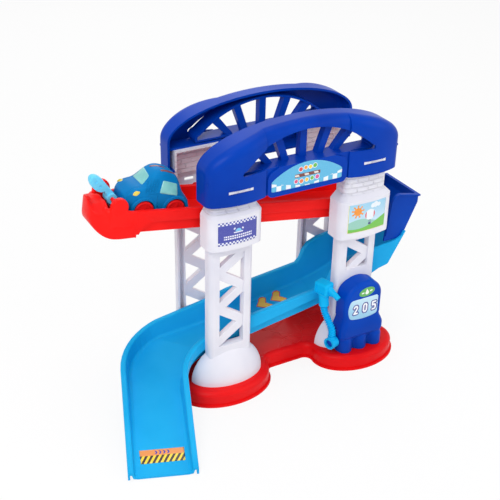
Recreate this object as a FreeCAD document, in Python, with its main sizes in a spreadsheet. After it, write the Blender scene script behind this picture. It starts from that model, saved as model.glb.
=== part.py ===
import FreeCAD, Part
import math
import operator
import os
import Sketcher

# Toy car ramp. A launching lever at the top left kicks a small car along the red deck. The deck
# slopes down to the right, the car tumbles through the blue chute and runs back along the light
# blue ramp, round the left towers and out at the front.
# Frame: origin on the floor, midway between the four towers; +X along the deck to the low end,
# +Y to the back, +Z up. Lengths are millimetres and angles are degrees.

Vector = FreeCAD.Vector
doc = FreeCAD.newDocument("car_ramp_toy")

SIZES = (
    # lay-out and the clearances between mouldings
    ("tower_spacing", 180.0),
    ("rim_half", 38.0),
    ("seat_gap", 0.3),
    ("shell_wall", 2.6),
    # base
    ("base_height", 20.0),
    ("base_wall", 3.0),
    ("base_round", 6.5),
    ("lobe_half_length", 60.0),
    ("lobe_half_width", 40.0),
    ("lobe_shift", 2.0),
    ("pump_lobe_half_length", 57.0),
    ("pump_lobe_shift", 3.0),
    ("pump_lobe_out", 51.0),
    ("lobe_out", 40.0),
    ("waist_half_length", 138.0),
    ("waist_half_width", 33.0),
    ("waist_fillet", 12.0),
    ("flange_thick", 2.5),
    ("flange_proud", 2.5),
    ("rib_thick", 3.0),
    # tower column, bell foot and neck
    ("column_half", 29.0),
    ("column_front", 52.0),
    ("column_sag", 1.2),
    ("column_corner", 6.0),
    ("bell_half_length", 48.0),
    ("bell_depth", 30.0),
    ("bell_rise", 46.4),
    ("column_foot", 50.0),
    ("neck_half", 30.0),
    ("neck_front", 60.0),
    ("neck_sag", 1.6),
    ("neck_corner", 8.0),
    ("neck_top", 297.0),
    # tower openings and their zigzag brace
    ("opening_half", 16.4),
    ("opening_foot", 70.0),
    ("opening_top", 197.0),
    ("return_depth", 42.0),
    ("return_thick", 2.5),
    ("brace_front", 49.8),
    ("brace_back", 43.5),
    ("brace_band", 7.0),
    ("brace_top", 197.0),
    ("brace_pitch", 24.3),
    ("pump_bar", 131.0),
    # collars
    ("left_collar_half", 35.0),
    ("left_collar_front", 65.4),
    ("left_collar_sag", 2.7),
    ("left_collar_foot", 211.0),
    ("left_collar_top", 252.0),
    ("right_collar_half", 38.0),
    ("right_collar_front", 66.0),
    ("right_collar_sag", 2.7),
    ("right_collar_foot", 183.0),
    ("right_collar_top", 234.0),
    ("collar_corner", 10.0),
    ("collar_slope", 8.0),
    ("collar_inset", 2.0),
    ("window_slot_length", 13.0),
    ("window_slot_height", 4.0),
    # snap tabs of the necks in the slots of the arches
    ("tab_half", 15.4),
    ("tab_thick", 3.4),
    ("tab_height", 286.5),
    ("tab_front", 70.4),
    # arches
    ("arch_half", 129.3),
    ("arch_foot", 270.0),
    ("arch_spring", 308.0),
    ("arch_rise", 44.2),
    ("arch_front", 64.0),
    ("arch_round", 12.0),
    ("arch_wall", 3.0),
    ("cap_inner", 56.0),
    ("cap_edge", 66.0),
    ("cap_bulge", 6.0),
    ("cap_corner", 10.0),
    ("plate_half", 53.5),
    ("plate_foot", 267.0),
    ("plate_side_top", 299.0),
    ("plate_rise", 10.0),
    ("plate_proud", 2.2),
    ("plate_thick", 3.5),
    ("plate_corner", 7.0),
    ("window_half", 89.0),
    ("window_foot", 303.5),
    ("window_radius", 126.0),
    ("window_apex", 342.0),
    ("window_end_bow", 0.6),
    ("window_return", 42.0),
    ("spoke_width", 9.0),
    ("spoke_front", 52.0),
    ("spoke_back", 43.0),
    ("spoke_top_near", 35.5),
    ("spoke_top_far", 64.5),
    ("spoke_foot_near", 22.7),
    ("spoke_foot_far", 44.0),
    # deck
    ("deck_tilt", 9.09),
    ("deck_origin_height", 237.0),
    ("deck_low_end", 142.5),
    ("deck_high_end", 206.0),
    ("deck_half", 34.0),
    ("deck_channel_half", 28.0),
    ("deck_wall", 2.4),
    ("fascia_height", 13.3),
    ("deck_depth", 17.0),
    ("deck_skirt_depth", 26.0),
    ("rail_round", 1.1),
    ("skirt_step_depth", 27.5),
    ("scoop_end", 252.6),
    ("scoop_plan_corner", 26.0),
    ("scoop_crest", 10.0),
    ("scoop_crest_place", 246.0),
    ("scoop_rim_place", 228.0),
    ("scoop_depth", 32.2),
    ("scoop_heel_place", 226.0),
    ("scoop_step_place", 199.6),
    ("scoop_step_depth", 31.3),
    ("scoop_wall", 4.0),
    ("scoop_heel_radius", 25.0),
    ("scoop_dip", 9.0),
    ("scoop_dip_place", 231.0),
    ("sweep_place", 180.0),
    ("sweep_radius", 22.0),
    ("pivot_place", 220.6),
    ("ear_half", 9.8),
    ("ear_outer", 31.5),
    ("ear_inner", 23.5),
    # deck pegs and the shelves in the towers under them
    ("deck_peg_radius", 4.0),
    ("deck_peg_reach", 47.0),
    ("deck_peg_drop", 8.0),
    ("shelf_thick", 2.5),
    # launching lever
    ("pivot_height", 5.0),
    ("pin_half", 28.5),
    ("pin_fit", 0.05),
    ("pivot_pin_radius", 2.5),
    ("pivot_play", 0.08),
    ("hub_radius", 6.0),
    ("hub_half", 7.0),
    ("arm_angle", 125.5),
    ("arm_width", 8.8),
    ("arm_neck", 7.6),
    ("arm_thick", 8.0),
    ("arm_reach", 13.0),
    ("paddle_reach", 24.0),
    ("paddle_half_length", 12.5),
    ("paddle_half_width", 7.0),
    ("lever_round", 1.6),
    ("dimple_radius", 1.8),
    ("dimple_depth", 0.7),
    ("dimple_pitch", 8.0),
    ("kicker_angle", 278.0),
    ("kicker_reach", 14.0),
    ("kicker_half", 14.0),
    ("kicker_thick", 3.0),
    # chute
    ("chute_half", 34.9),
    ("chute_wall", 2.5),
    ("chute_edge_foot", 143.5),
    ("chute_edge_top", 150.0),
    ("chute_edge_height", 202.0),
    ("chute_crown_place", 162.0),
    ("chute_crown", 212.0),
    ("chute_end", 192.5),
    ("chute_end_top", 205.0),
    ("chute_end_foot", 194.0),
    ("chute_joint_place", 175.7),
    ("chute_joint", 156.3),
    ("chute_foot", 147.0),
    ("chute_rim", 2.0),
    ("chute_corner", 13.0),
    # ramp
    ("ramp_half", 37.7),
    ("ramp_rail", 7.0),
    ("ramp_wall", 2.5),
    ("ramp_lean", 3.0),
    ("ramp_end_top_place", 176.0),
    ("ramp_end_top", 156.0),
    ("ramp_end_foot_place", 151.6),
    ("ramp_end_foot", 113.0),
    ("ramp_outer_bend_start", -153.0),
    ("ramp_outer_radius", 71.3),
    ("ramp_inner_bend_start", -115.5),
    ("ramp_turn", 70.3),
    ("ramp_exit_length", 143.0),
    ("ramp_exit_width", 79.6),
    ("ramp_exit_floor", 2.6),
    ("ramp_bend_drop", 15.0),
    ("ramp_curl", 2.4),
    ("ramp_floor_round", 4.0),
    ("ramp_wall_end", 150.5),
    ("ramp_wall_rail", 145.0),
    ("ramp_cheek_radius", 34.0),
    ("ramp_left_peg_height", 80.5),
    ("ramp_right_peg_height", 98.2),
    ("ramp_exit_rail", 9.6),
    ("ramp_peg_radius", 3.0),
    ("ramp_peg_reach", 45.0),
    ("ramp_peg_offset", 22.6),
    # pump
    ("pump_place", 90.5),
    ("pump_half", 28.0),
    ("pump_skirt_half", 33.0),
    ("pump_front", 75.0),
    ("pump_back", 52.3),
    ("pump_shoulder", 57.0),
    ("pump_skirt_top", 66.0),
    ("pump_dome_foot", 97.0),
    ("pump_dome_radius", 21.0),
    ("pump_crown_half", 12.0),
    ("pump_crown_foot", 117.5),
    ("pump_crown_rise", 2.8),
    ("pump_round", 6.0),
    ("pump_skirt_front", 77.5),
    ("pump_skirt_foot", 34.0),
    ("pump_skirt_round", 4.0),
    ("pump_plinth_front", 70.5),
    ("pump_plinth_half", 32.0),
    ("pump_wall", 2.6),
    ("toe_pitch", 22.6),
    ("toe_half", 10.0),
    ("toe_depth", 10.5),
    ("toe_height", 26.0),
    ("toe_out", 68.0),
    ("toe_shift", 1.0),
    # hose, its eye and peg, and the nozzle
    ("eye_place", 49.0),
    ("eye_out", 67.0),
    ("eye_height", 37.0),
    ("eye_turn", 18.0),
    ("eye_radius", 8.0),
    ("eye_length", 11.0),
    ("stub_radius", 5.2),
    ("stub_height", 10.0),
    ("peg_radius", 5.2),
    ("peg_play", 0.08),
    ("peg_recess", 2.0),
    ("boss_radius", 6.5),
    ("boss_length", 7.0),
    ("hose_radius", 4.8),
    ("hose_root_radius", 3.7),
    ("hose_bore", 2.2),
    ("hose_end_run", 3.0),
    ("hose_run", 17.5),
    ("hose_bend_radius", 20.0),
    ("hose_bend", 33.0),
    ("hose_lean", 6.0),
    ("rib_pitch", 3.0),
    ("rib_count", 14),
    ("neck_radius", 6.6),
    ("neck_length", 18.0),
    ("nozzle_thick", 16.0),
    ("nozzle_depth", 21.0),
    ("nozzle_foot", 16.5),
    ("nozzle_height", 17.5),
    ("nozzle_round", 3.0),
    ("nozzle_recess", 1.0),
    ("spout_root_radius", 4.5),
    ("spout_tip_radius", 3.5),
    ("spout_length", 19.0),
    ("spout_dip", 28.0),
    ("spout_bore", 2.2),
    # car
    ("car_place", 168.6),
    ("car_cavity_half_length", 31.0),
    ("car_cavity_half_width", 15.5),
    ("car_cavity_top", 18.0),
    ("wheel_radius", 11.5),
    ("wheel_width", 7.0),
    ("wheel_outer", 23.5),
    ("wheel_base", 38.5),
    ("wheel_lift", 0.3),
    ("wheel_dish", 1.2),
    ("wheel_rim", 8.7),
    ("wheel_hub", 2.8),
    ("wheel_chamfer", 0.8),
    ("spoke_half", 1.1),
    ("spoke_count", 5),
    ("axle_radius", 1.5),
    ("axle_play", 0.06),
    ("axle_half", 22.0),
    ("wheel_arch_radius", 13.0),
    ("wheel_arch_inner", 15.0),
    ("fender_radius", 16.6),
    ("fender_outer", 22.6),
    ("fender_inner", 12.0),
    ("fender_round", 1.4),
    ("fender_foot", 8.0),
    ("chassis_foot", 5.5),
    ("chassis_thick", 2.5),
    ("bearing_inner", 8.0),
    ("bearing_outer", 12.0),
    ("bearing_half", 3.5),
    ("bearing_top", 16.0),
    ("post_radius", 3.0),
    ("post_place", 6.5),
)

sheet = doc.addObject("Spreadsheet::Sheet", "sizes")
for row, (alias, value) in enumerate(SIZES, 1):
    sheet.set("A%d" % row, alias)
    sheet.set("B%d" % row, str(value))
    sheet.setAlias("B%d" % row, alias)
doc.recompute()

OPERATIONS = {"+": operator.add, "-": operator.sub, "*": operator.mul, "/": operator.truediv}


def rule_of(value):
    if isinstance(value, Size):
        return value.rule
    text = "%.9g" % value
    return "(%s)" % text if value < 0 else text


def joined(left, sign, right):
    value = OPERATIONS[sign](float(left), float(right))
    return Size(value, "(%s %s %s)" % (rule_of(left), sign, rule_of(right)))


class Size(float):
    # A number that also carries the sheet expression it is worked out from.
    def __new__(cls, value, rule):
        made = float.__new__(cls, value)
        made.rule = rule
        return made

    def __add__(self, other):
        return joined(self, "+", other)

    def __radd__(self, other):
        return joined(other, "+", self)

    def __sub__(self, other):
        return joined(self, "-", other)

    def __rsub__(self, other):
        return joined(other, "-", self)

    def __mul__(self, other):
        return joined(self, "*", other)

    def __rmul__(self, other):
        return joined(other, "*", self)

    def __truediv__(self, other):
        return joined(self, "/", other)

    def __rtruediv__(self, other):
        return joined(other, "/", self)

    def __neg__(self):
        return joined(0.0, "-", self)


class Sizes:
    pass


s = Sizes()
for alias, value in SIZES:
    setattr(s, alias, Size(float(sheet.get(alias)), "sizes." + alias))


def sine(angle):
    return Size(math.sin(math.radians(angle)), "sin(%s)" % rule_of(angle))


def cosine(angle):
    return Size(math.cos(math.radians(angle)), "cos(%s)" % rule_of(angle))


def root(value):
    return Size(math.sqrt(value), "sqrt(%s)" % rule_of(value))


def bind(thing, **fields):
    for field, value in fields.items():
        thing.setExpression(field.replace("__", "."), rule_of(value))


def place(thing, x=0.0, y=0.0, z=0.0):
    bind(thing, Placement__Base__x=x, Placement__Base__y=y, Placement__Base__z=z)
    return thing


# Sketches. A loop is a list of corners (u, v) or (u, v, radius): with a radius, the edge that
# arrives at the corner is an arc, turning left for a positive radius and right for a negative one.
# Each corner is dimensioned from the sketch's origin.


def arc_between(start, end, radius):
    along_u = float(end[0]) - float(start[0])
    along_v = float(end[1]) - float(start[1])
    length = math.hypot(along_u, along_v)
    reach = math.sqrt(max(float(radius) ** 2 - length ** 2 / 4.0, 0.0))
    side = reach / length if radius > 0 else -reach / length
    middle_u = (float(start[0]) + float(end[0])) / 2.0 - along_v * side
    middle_v = (float(start[1]) + float(end[1])) / 2.0 + along_u * side
    first = math.atan2(float(start[1]) - middle_v, float(start[0]) - middle_u)
    last = math.atan2(float(end[1]) - middle_v, float(end[0]) - middle_u)
    if radius < 0:
        first, last = last, first
    circle = Part.Circle(Vector(middle_u, middle_v, 0), Vector(0, 0, 1), abs(float(radius)))
    return Part.ArcOfCircle(circle, first, last)


def draw(sketch, corners):
    first = sketch.GeometryCount
    count = len(corners)
    rules = []
    constraints = []
    ends = []
    held = sketch.ConstraintCount

    def hold(kind, items, value=None):
        if value is None:
            constraints.append(Sketcher.Constraint(kind, *items))
            return
        constraints.append(Sketcher.Constraint(kind, *items, float(value)))
        rules.append((held + len(constraints) - 1, rule_of(value)))

    for number in range(count):
        start = corners[number]
        end = corners[(number + 1) % count]
        turned = len(end) == 3
        if turned:
            sketch.addGeometry(arc_between(start, end, end[2]), False)
            ends.append((1, 2) if end[2] > 0 else (2, 1))
        else:
            line = Part.LineSegment(Vector(start[0], start[1], 0), Vector(end[0], end[1], 0))
            sketch.addGeometry(line, False)
            ends.append((1, 2))
    for number in range(count):
        edge = first + number
        after = (number + 1) % count
        hold("Coincident", (edge, ends[number][1], first + after, ends[after][0]))
        hold("DistanceX", (-1, 1, edge, ends[number][0]), corners[number][0])
        hold("DistanceY", (-1, 1, edge, ends[number][0]), corners[number][1])
        if len(corners[after]) == 3:
            radius = corners[after][2]
            hold("Radius", (edge,), radius if radius > 0 else -radius)
    sketch.addConstraint(constraints)
    for number, rule in rules:
        if "sizes." in rule:
            sketch.setExpression("Constraints[%d]" % number, rule)


def draw_circle(sketch, centre_u, centre_v, radius):
    edge = sketch.GeometryCount
    held = sketch.ConstraintCount
    centre = Vector(float(centre_u), float(centre_v), 0)
    sketch.addGeometry(Part.Circle(centre, Vector(0, 0, 1), float(radius)), False)
    sketch.addConstraint([
        Sketcher.Constraint("DistanceX", -1, 1, edge, 3, float(centre_u)),
        Sketcher.Constraint("DistanceY", -1, 1, edge, 3, float(centre_v)),
        Sketcher.Constraint("Radius", edge, float(radius)),
    ])
    for step, value in enumerate((centre_u, centre_v, radius)):
        if "sizes." in rule_of(value):
            sketch.setExpression("Constraints[%d]" % (held + step), rule_of(value))


def draw_all(sketch, loops):
    for loop in loops:
        if isinstance(loop, list):
            draw(sketch, loop)
        else:
            draw_circle(sketch, *loop)
    return sketch


# Solids made from a profile drawn on a plane of the frame and extruded, and their booleans.

TURNS = {
    "XY": FreeCAD.Rotation(),
    "XZ": FreeCAD.Rotation(Vector(1, 0, 0), 90),
    "YZ": FreeCAD.Rotation(Vector(1, 1, 1), 120),
}
NORMALS = {"XY": Vector(0, 0, 1), "XZ": Vector(0, 1, 0), "YZ": Vector(1, 0, 0)}
HEIGHTS = {"XY": "z", "XZ": "y", "YZ": "x"}


def profile(name, plane, height, loops):
    sketch = doc.addObject("Sketcher::SketchObject", name)
    sketch.Placement = FreeCAD.Placement(Vector(), TURNS[plane])
    place(sketch, **{HEIGHTS[plane]: height})
    return draw_all(sketch, loops)


def prism(name, plane, start, stop, *loops):
    made = doc.addObject("Part::Extrusion", name)
    made.Base = profile(name + "_profile", plane, start, loops)
    made.DirMode = "Custom"
    made.Dir = NORMALS[plane]
    made.Solid = True
    bind(made, LengthFwd=stop - start)
    return made


def block(name, x, y, z):
    made = doc.addObject("Part::Box", name)
    bind(made, Length=x[1] - x[0], Width=y[1] - y[0], Height=z[1] - z[0])
    return place(made, x[0], y[0], z[0])


def oval_prism(name, centre, half_x, half_y, bottom, top):
    oval = doc.addObject("Part::Ellipse", name + "_outline")
    bind(oval, MajorRadius=half_x, MinorRadius=half_y)
    place(oval, centre[0], centre[1], bottom)
    made = doc.addObject("Part::Extrusion", name)
    made.Base = oval
    made.DirMode = "Custom"
    made.Dir = Vector(0, 0, 1)
    made.Solid = True
    bind(made, LengthFwd=top - bottom)
    return made


def rod(name, axis, radius, start, length):
    made = doc.addObject("Part::Cylinder", name)
    made.Placement = FreeCAD.Placement(Vector(), FreeCAD.Rotation(Vector(0, 0, 1), axis))
    bind(made, Radius=radius, Height=length)
    return place(made, *start)


def quarter_bell(name, centre_y, bottom, half_x, half_y, rise):
    made = doc.addObject("Part::Ellipsoid", name)
    made.Placement = FreeCAD.Placement(Vector(), FreeCAD.Rotation(Vector(0, 0, 1), 180))
    bind(made, Radius1=rise, Radius2=half_x, Radius3=half_y, Angle1=0.0, Angle2=90.0, Angle3=180.0)
    return place(made, 0.0, centre_y, bottom)


def fuse(name, *pieces):
    made = doc.addObject("Part::MultiFuse", name)
    made.Shapes = list(pieces)
    made.Refine = True
    return made


def cut(name, piece, *tools):
    made = doc.addObject("Part::Cut", name)
    made.Base = piece
    made.Tool = tools[0] if len(tools) == 1 else fuse(name + "_tools", *tools)
    made.Refine = True
    return made


def common(name, *pieces):
    made = doc.addObject("Part::MultiCommon", name)
    made.Shapes = list(pieces)
    made.Refine = True
    return made


def rounded(name, piece, radius, chosen):
    doc.recompute()
    made = doc.addObject("Part::Fillet", name)
    made.Base = piece
    picked = [n for n, edge in enumerate(piece.Shape.Edges, 1) if chosen(edge, piece.Shape)]
    made.Edges = [(n, float(radius), float(radius)) for n in picked]
    return made


def middle(edge):
    return edge.valueAt((edge.FirstParameter + edge.LastParameter) / 2.0)


def is_upright(edge):
    box = edge.BoundBox
    return box.XLength < 0.01 and box.YLength < 0.01


def meets_at_corner(edge, shape):
    # True where two different faces meet at an angle.
    faces = shape.ancestorsOfType(edge, Part.Face)
    if len(faces) != 2:
        return False
    point = middle(edge)
    normals = [face.normalAt(*face.Surface.parameter(point)) for face in faces]
    return abs(normals[0].dot(normals[1])) < 0.98


nodes = {}


def keep(node, piece):
    piece.Label = node
    nodes[node] = piece
    return piece


# Base: four lobes under the towers joined by a straight waist, hollow beneath, with ribs that
# reach the floor.

half_span = s.tower_spacing / 2.0


def base_outline(name, grow, bottom, top):
    lobes = []
    for tag, side, out in (("fl", -1, -1), ("rl", -1, 1), ("rr", 1, 1)):
        centre = (side * (half_span + s.lobe_shift), out * s.lobe_out)
        half_x = s.lobe_half_length + grow
        half_y = s.lobe_half_width + grow
        lobes.append(oval_prism(name + "_lobe_" + tag, centre, half_x, half_y, bottom, top))
    centre = (half_span + s.pump_lobe_shift, -s.pump_lobe_out)
    half_x = s.pump_lobe_half_length + grow
    half_y = s.lobe_half_width + grow
    lobes.append(oval_prism(name + "_lobe_fr", centre, half_x, half_y, bottom, top))
    reach = s.waist_half_length + grow
    across = s.waist_half_width + grow
    lobes.append(block(name + "_waist", (-reach, reach), (-across, across), (bottom, top)))
    whole = fuse(name + "_lobes", *lobes)

    def chosen(edge, shape):
        return is_upright(edge) and meets_at_corner(edge, shape)

    return rounded(name, whole, s.waist_fillet - grow, chosen)


def top_rim(level):
    def chosen(edge, shape):
        box = edge.BoundBox
        return abs(box.ZMin - level) < 0.01 and box.ZLength < 0.01

    return chosen


base_body = rounded(
    "base_body", base_outline("base_outer", 0.0, 0.0, s.base_height), s.base_round,
    top_rim(s.base_height))
base_flange = base_outline("base_flange", s.flange_proud, 0.0, s.flange_thick)
base_hollow = base_outline("base_hollow", -s.base_wall, 0.0, s.base_height - s.base_wall)
base_shell = cut("base_shell", fuse("base_solid", base_body, base_flange), base_hollow)
rib = s.rib_thick / 2.0
rib_reach = s.waist_half_length - s.base_wall / 2.0
rib_across = s.waist_half_width - s.base_wall / 2.0
rib_top = s.base_height - s.base_wall / 2.0
ribs = [block("base_rib_long", (-rib_reach, rib_reach), (-rib, rib), (0.0, rib_top))]
for tag, side in (("left", -1), ("middle", 0), ("right", 1)):
    across = rib_across if side == 0 else rib_across + s.lobe_half_width / 2.0
    at = side * half_span
    ribs.append(block("base_rib_" + tag, (at - rib, at + rib), (-across, across), (0.0, rib_top)))
keep("base", fuse("base", base_shell, *ribs))


# Towers: white half shells, open towards the middle. Each is drawn about its own centre line
# with its front at -Y, and the rear ones are turned half a turn.


def shell_section(half, front, sag, corner, rim):
    flank = half - corner
    edge = front - sag
    bow = (flank * flank + sag * sag) / (2.0 * sag)
    return [
        (-flank, -edge, corner),
        (flank, -edge, bow),
        (half, -(edge - corner), corner),
        (half, -rim),
        (-half, -rim),
        (-half, -(edge - corner)),
    ]


def tower_sections(inset, collar):
    rim = s.rim_half - (inset if inset == 0.0 else 2.0 * s.shell_wall)

    def section(half, front, sag, corner):
        return shell_section(half - inset, front - inset, sag, corner - inset, rim)

    return {
        "column": section(s.column_half, s.column_front, s.column_sag, s.column_corner),
        "collar": section(collar["half"], collar["front"], collar["sag"], s.collar_corner),
        "neck": section(s.neck_half, s.neck_front, s.neck_sag, s.neck_corner),
    }


def tower_volume(name, inset, collar, top):
    sections = tower_sections(inset, collar)
    shift = 0.0 if inset == 0.0 else s.collar_inset
    low = collar["foot"] - s.collar_slope + shift
    high = collar["top"] + s.collar_slope - shift
    levels = (
        ("column", low), ("collar", collar["foot"] + shift),
        ("collar", collar["top"] - shift), ("neck", high))
    loft = doc.addObject("Part::Loft", name + "_collar")
    loft.Sections = [
        profile("%s_collar_%d" % (name, step), "XY", level, [sections[kind]])
        for step, (kind, level) in enumerate(levels)]
    loft.Solid = True
    loft.Ruled = True
    bell = quarter_bell(
        name + "_bell", -(s.rim_half - (0.0 if inset == 0.0 else s.shell_wall)), s.base_height,
        s.bell_half_length - inset, s.bell_depth - inset * (1.0 if inset == 0.0 else 0.0),
        s.bell_rise - inset)
    column = prism(name + "_column", "XY", s.column_foot, low, sections["column"])
    neck = prism(name + "_neck", "XY", high, top, sections["neck"])
    return fuse(name, bell, column, loft, neck)


LEFT_COLLAR = {
    "half": s.left_collar_half, "front": s.left_collar_front, "sag": s.left_collar_sag,
    "foot": s.left_collar_foot, "top": s.left_collar_top}
RIGHT_COLLAR = {
    "half": s.right_collar_half, "front": s.right_collar_front, "sag": s.right_collar_sag,
    "foot": s.right_collar_foot, "top": s.right_collar_top}


def brace_leg(level, side, half, band):
    # One leg of the zigzag, falling from one post to the other.
    fall = s.brace_pitch
    return [
        (-side * half, level - fall - band),
        (side * half, level - band),
        (side * half, level + band),
        (-side * half, level - fall + band),
    ][::side]


def deck_height(x):
    return s.deck_origin_height - x * sine(s.deck_tilt) / cosine(s.deck_tilt)


def tower(name, collar, side, opening, legs, ramp_peg, slot):
    outer = tower_volume(name + "_outer", 0.0, collar, s.neck_top)
    inner = tower_volume(name + "_inner", s.shell_wall, collar, s.neck_top - s.shell_wall)
    shell = cut(name + "_shell", outer, inner)
    half = s.opening_half
    post = half + s.return_thick
    frame = prism(
        name + "_frame", "XZ", -(s.column_front - s.column_sag - s.shell_wall / 2.0),
        -s.return_depth,
        [(-post, opening[0] - s.return_thick), (post, opening[0] - s.return_thick),
         (post, opening[1] + s.return_thick), (-post, opening[1] + s.return_thick)])
    hole = block(
        name + "_hole", (-half, half), (-s.column_front - 1.0, -s.rim_half + 1.0), opening)
    reach = half + s.return_thick / 2.0
    tops = [s.brace_top - s.brace_pitch * step for step in legs]
    braces = []
    for step, level in zip(legs, tops):
        loop = brace_leg(level, 1 if step % 2 == 0 else -1, reach, s.brace_band)
        braces.append(prism(
            "%s_brace_%d" % (name, step), "XZ", -s.brace_front, -s.brace_back, loop))
    tab = block(
        name + "_tab", (-s.tab_half, s.tab_half), (-s.tab_front, -(s.neck_front - s.shell_wall)),
        (s.tab_height - s.tab_thick / 2.0, s.tab_height + s.tab_thick / 2.0))
    shelves = []
    deck_level = deck_height(side * half_span) - s.deck_peg_drop
    deck_level = deck_level - s.deck_peg_radius - s.seat_gap
    collar_reach = collar["half"] - s.shell_wall / 2.0
    shelves.append(block(
        name + "_deck_shelf", (-collar_reach, collar_reach),
        (-(collar["front"] - s.collar_corner), -(s.rim_half + 1.0)),
        (deck_level - s.shelf_thick, deck_level)))
    near = half + s.return_thick / 2.0
    far = s.column_half - s.shell_wall / 2.0
    start = near if ramp_peg[0] > 0 else -far
    stop = far if ramp_peg[0] > 0 else -near
    peg_level = ramp_peg[1] - s.ramp_peg_radius - s.seat_gap
    shelves.append(block(
        name + "_ramp_shelf", (start, stop),
        (-(s.column_front - s.column_corner), -(s.rim_half + 1.0)),
        (peg_level - s.shelf_thick, peg_level)))
    solid = fuse(name + "_solid", cut(name + "_open", fuse(name + "_framed", shell, frame), hole),
                 *braces, tab, *shelves)
    if slot:
        level = collar["top"] - s.window_slot_height
        gap = block(
            name + "_slot", (-s.window_slot_length / 2.0, s.window_slot_length / 2.0),
            (-collar["front"] - 1.0, -(collar["front"] - 2.5 * s.shell_wall)),
            (level - s.window_slot_height, level))
        solid = cut(name + "_slotted", solid, gap)
    return solid


def set_tower(node, piece, side, out):
    # Moves a tower from its own centre line to its place on the base.
    turn = 0.0 if out < 0 else 180.0
    piece.Placement = FreeCAD.Placement(Vector(), FreeCAD.Rotation(Vector(0, 0, 1), turn))
    bind(piece, Placement__Base__x=side * half_span)
    return keep(node, piece)


full_opening = (s.opening_foot, s.opening_top)
right_opening = (s.opening_foot, s.right_collar_foot - s.collar_slope - 3.0)
pump_opening = (s.pump_bar, s.right_collar_foot - s.collar_slope - 3.0)
left_peg = s.ramp_left_peg_height
right_peg = s.ramp_right_peg_height
set_tower("tower_front_left", tower(
    "front_left", LEFT_COLLAR, -1, full_opening, (0, 1, 2, 3, 4), (1, left_peg), False), -1, -1)
set_tower("tower_rear_left", tower(
    "rear_left", LEFT_COLLAR, -1, full_opening, (0, 1, 2, 3, 4), (-1, left_peg), True), -1, 1)
set_tower("tower_front_right", tower(
    "front_right", RIGHT_COLLAR, 1, pump_opening, (1, 2), (-1, right_peg), False), 1, -1)
set_tower("tower_rear_right", tower(
    "rear_right", RIGHT_COLLAR, 1, right_opening, (1, 2, 3, 4), (1, right_peg), False), 1, 1)


# Arches: blue hollow shells over each pair of towers, with a fan window and a domed plate.


def cap_front(inset):
    # Half of the plan of an end cap: the bulge is an arc about the tower's centre line.
    chord = half_span - s.cap_inner
    radius = (chord * chord + s.cap_bulge * s.cap_bulge) / (2.0 * s.cap_bulge)
    centre = radius - s.cap_edge - s.cap_bulge

    def depth(x):
        across = x - half_span
        reach = radius - inset
        return centre - root(reach * reach - across * across)

    return radius - inset, depth


def arch_volume(name, inset, foot, back):
    half = s.arch_half - inset
    rise = s.arch_rise - inset
    radius, depth = cap_front(inset)
    inner = s.cap_inner + inset
    deepest = s.cap_edge + s.cap_bulge + 1.0
    pieces = []
    for tag in ("left", "right", "middle"):
        if tag == "middle":
            front = s.arch_front - inset
            width = (-inner, inner)
        else:
            front = deepest
            width = (inner, half) if tag == "right" else (-half, -inner)
        flank = block(
            "%s_flank_%s" % (name, tag), width, (-front, back), (foot, s.arch_spring))
        crown = doc.addObject("Part::Ellipse", "%s_crown_%s" % (name, tag))
        crown.Placement = FreeCAD.Placement(Vector(), TURNS["XZ"])
        bind(crown, MajorRadius=half, MinorRadius=rise)
        place(crown, 0.0, -front, s.arch_spring)
        dome = doc.addObject("Part::Extrusion", "%s_dome_%s" % (name, tag))
        dome.Base = crown
        dome.DirMode = "Custom"
        dome.Dir = NORMALS["XZ"]
        dome.Solid = True
        bind(dome, LengthFwd=front + back)
        above = block(
            "%s_above_%s" % (name, tag), width, (-front, back),
            (s.arch_spring - 1.0, s.arch_spring + s.arch_rise))
        piece = fuse("%s_%s" % (name, tag), flank, common(
            "%s_top_%s" % (name, tag), dome, above))
        if tag == "middle":
            level = front
        else:
            first = inner if tag == "right" else -half
            last = half if tag == "right" else -inner
            plan = prism(
                "%s_plan_%s" % (name, tag), "XY", foot, s.arch_spring + s.arch_rise,
                [(first, back), (first, depth(inner if tag == "right" else half)),
                 (last, depth(half if tag == "right" else inner), radius), (last, back)])
            piece = common("%s_cap_%s" % (name, tag), piece, plan)
            level = None
        pieces.append(rounded_front(
            "%s_round_%s" % (name, tag), piece, s.arch_round - inset, foot, level, half, back))
    return fuse(name, *pieces)


def rounded_front(name, piece, radius, foot, level, half, back):
    def chosen(edge, shape):
        box = edge.BoundBox
        if box.YMax > back - 1.0 or (level is not None and abs(box.YMin + level) > 0.01):
            return False
        outline = box.ZMin > s.arch_spring - 0.5 and box.ZMax > s.arch_spring + 2.0
        flank = abs(max(abs(box.XMin), abs(box.XMax)) - half) < 0.01 and box.XLength < 0.01
        crosses = box.YLength > radius
        return (outline and box.XLength > 1.0) or (flank and not crosses)

    return rounded(name, piece, radius, chosen)


def window_loop(grow):
    reach = s.window_radius + grow
    centre = s.window_apex - s.window_radius
    top = s.window_half - 4.5
    height = centre + root(reach * reach - top * top)
    foot = s.window_foot - grow
    side = s.window_half - 1.0 + grow
    end = s.window_end_bow * root(
        (side - top) * (side - top) + (height - foot) * (height - foot))
    return [(-side, foot, end), (side, foot), (top, height, end), (-top, height, reach)]


def spoke(top, foot):
    reach = s.window_radius + 1.2
    centre = s.window_apex - s.window_radius
    low = s.window_foot - 1.2
    half = s.spoke_width / 2.0

    def height(x):
        return centre + root(reach * reach - x * x)

    return [(foot - half, low), (foot + half, low), (top + half, height(top + half)),
            (top - half, height(top - half))]


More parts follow.
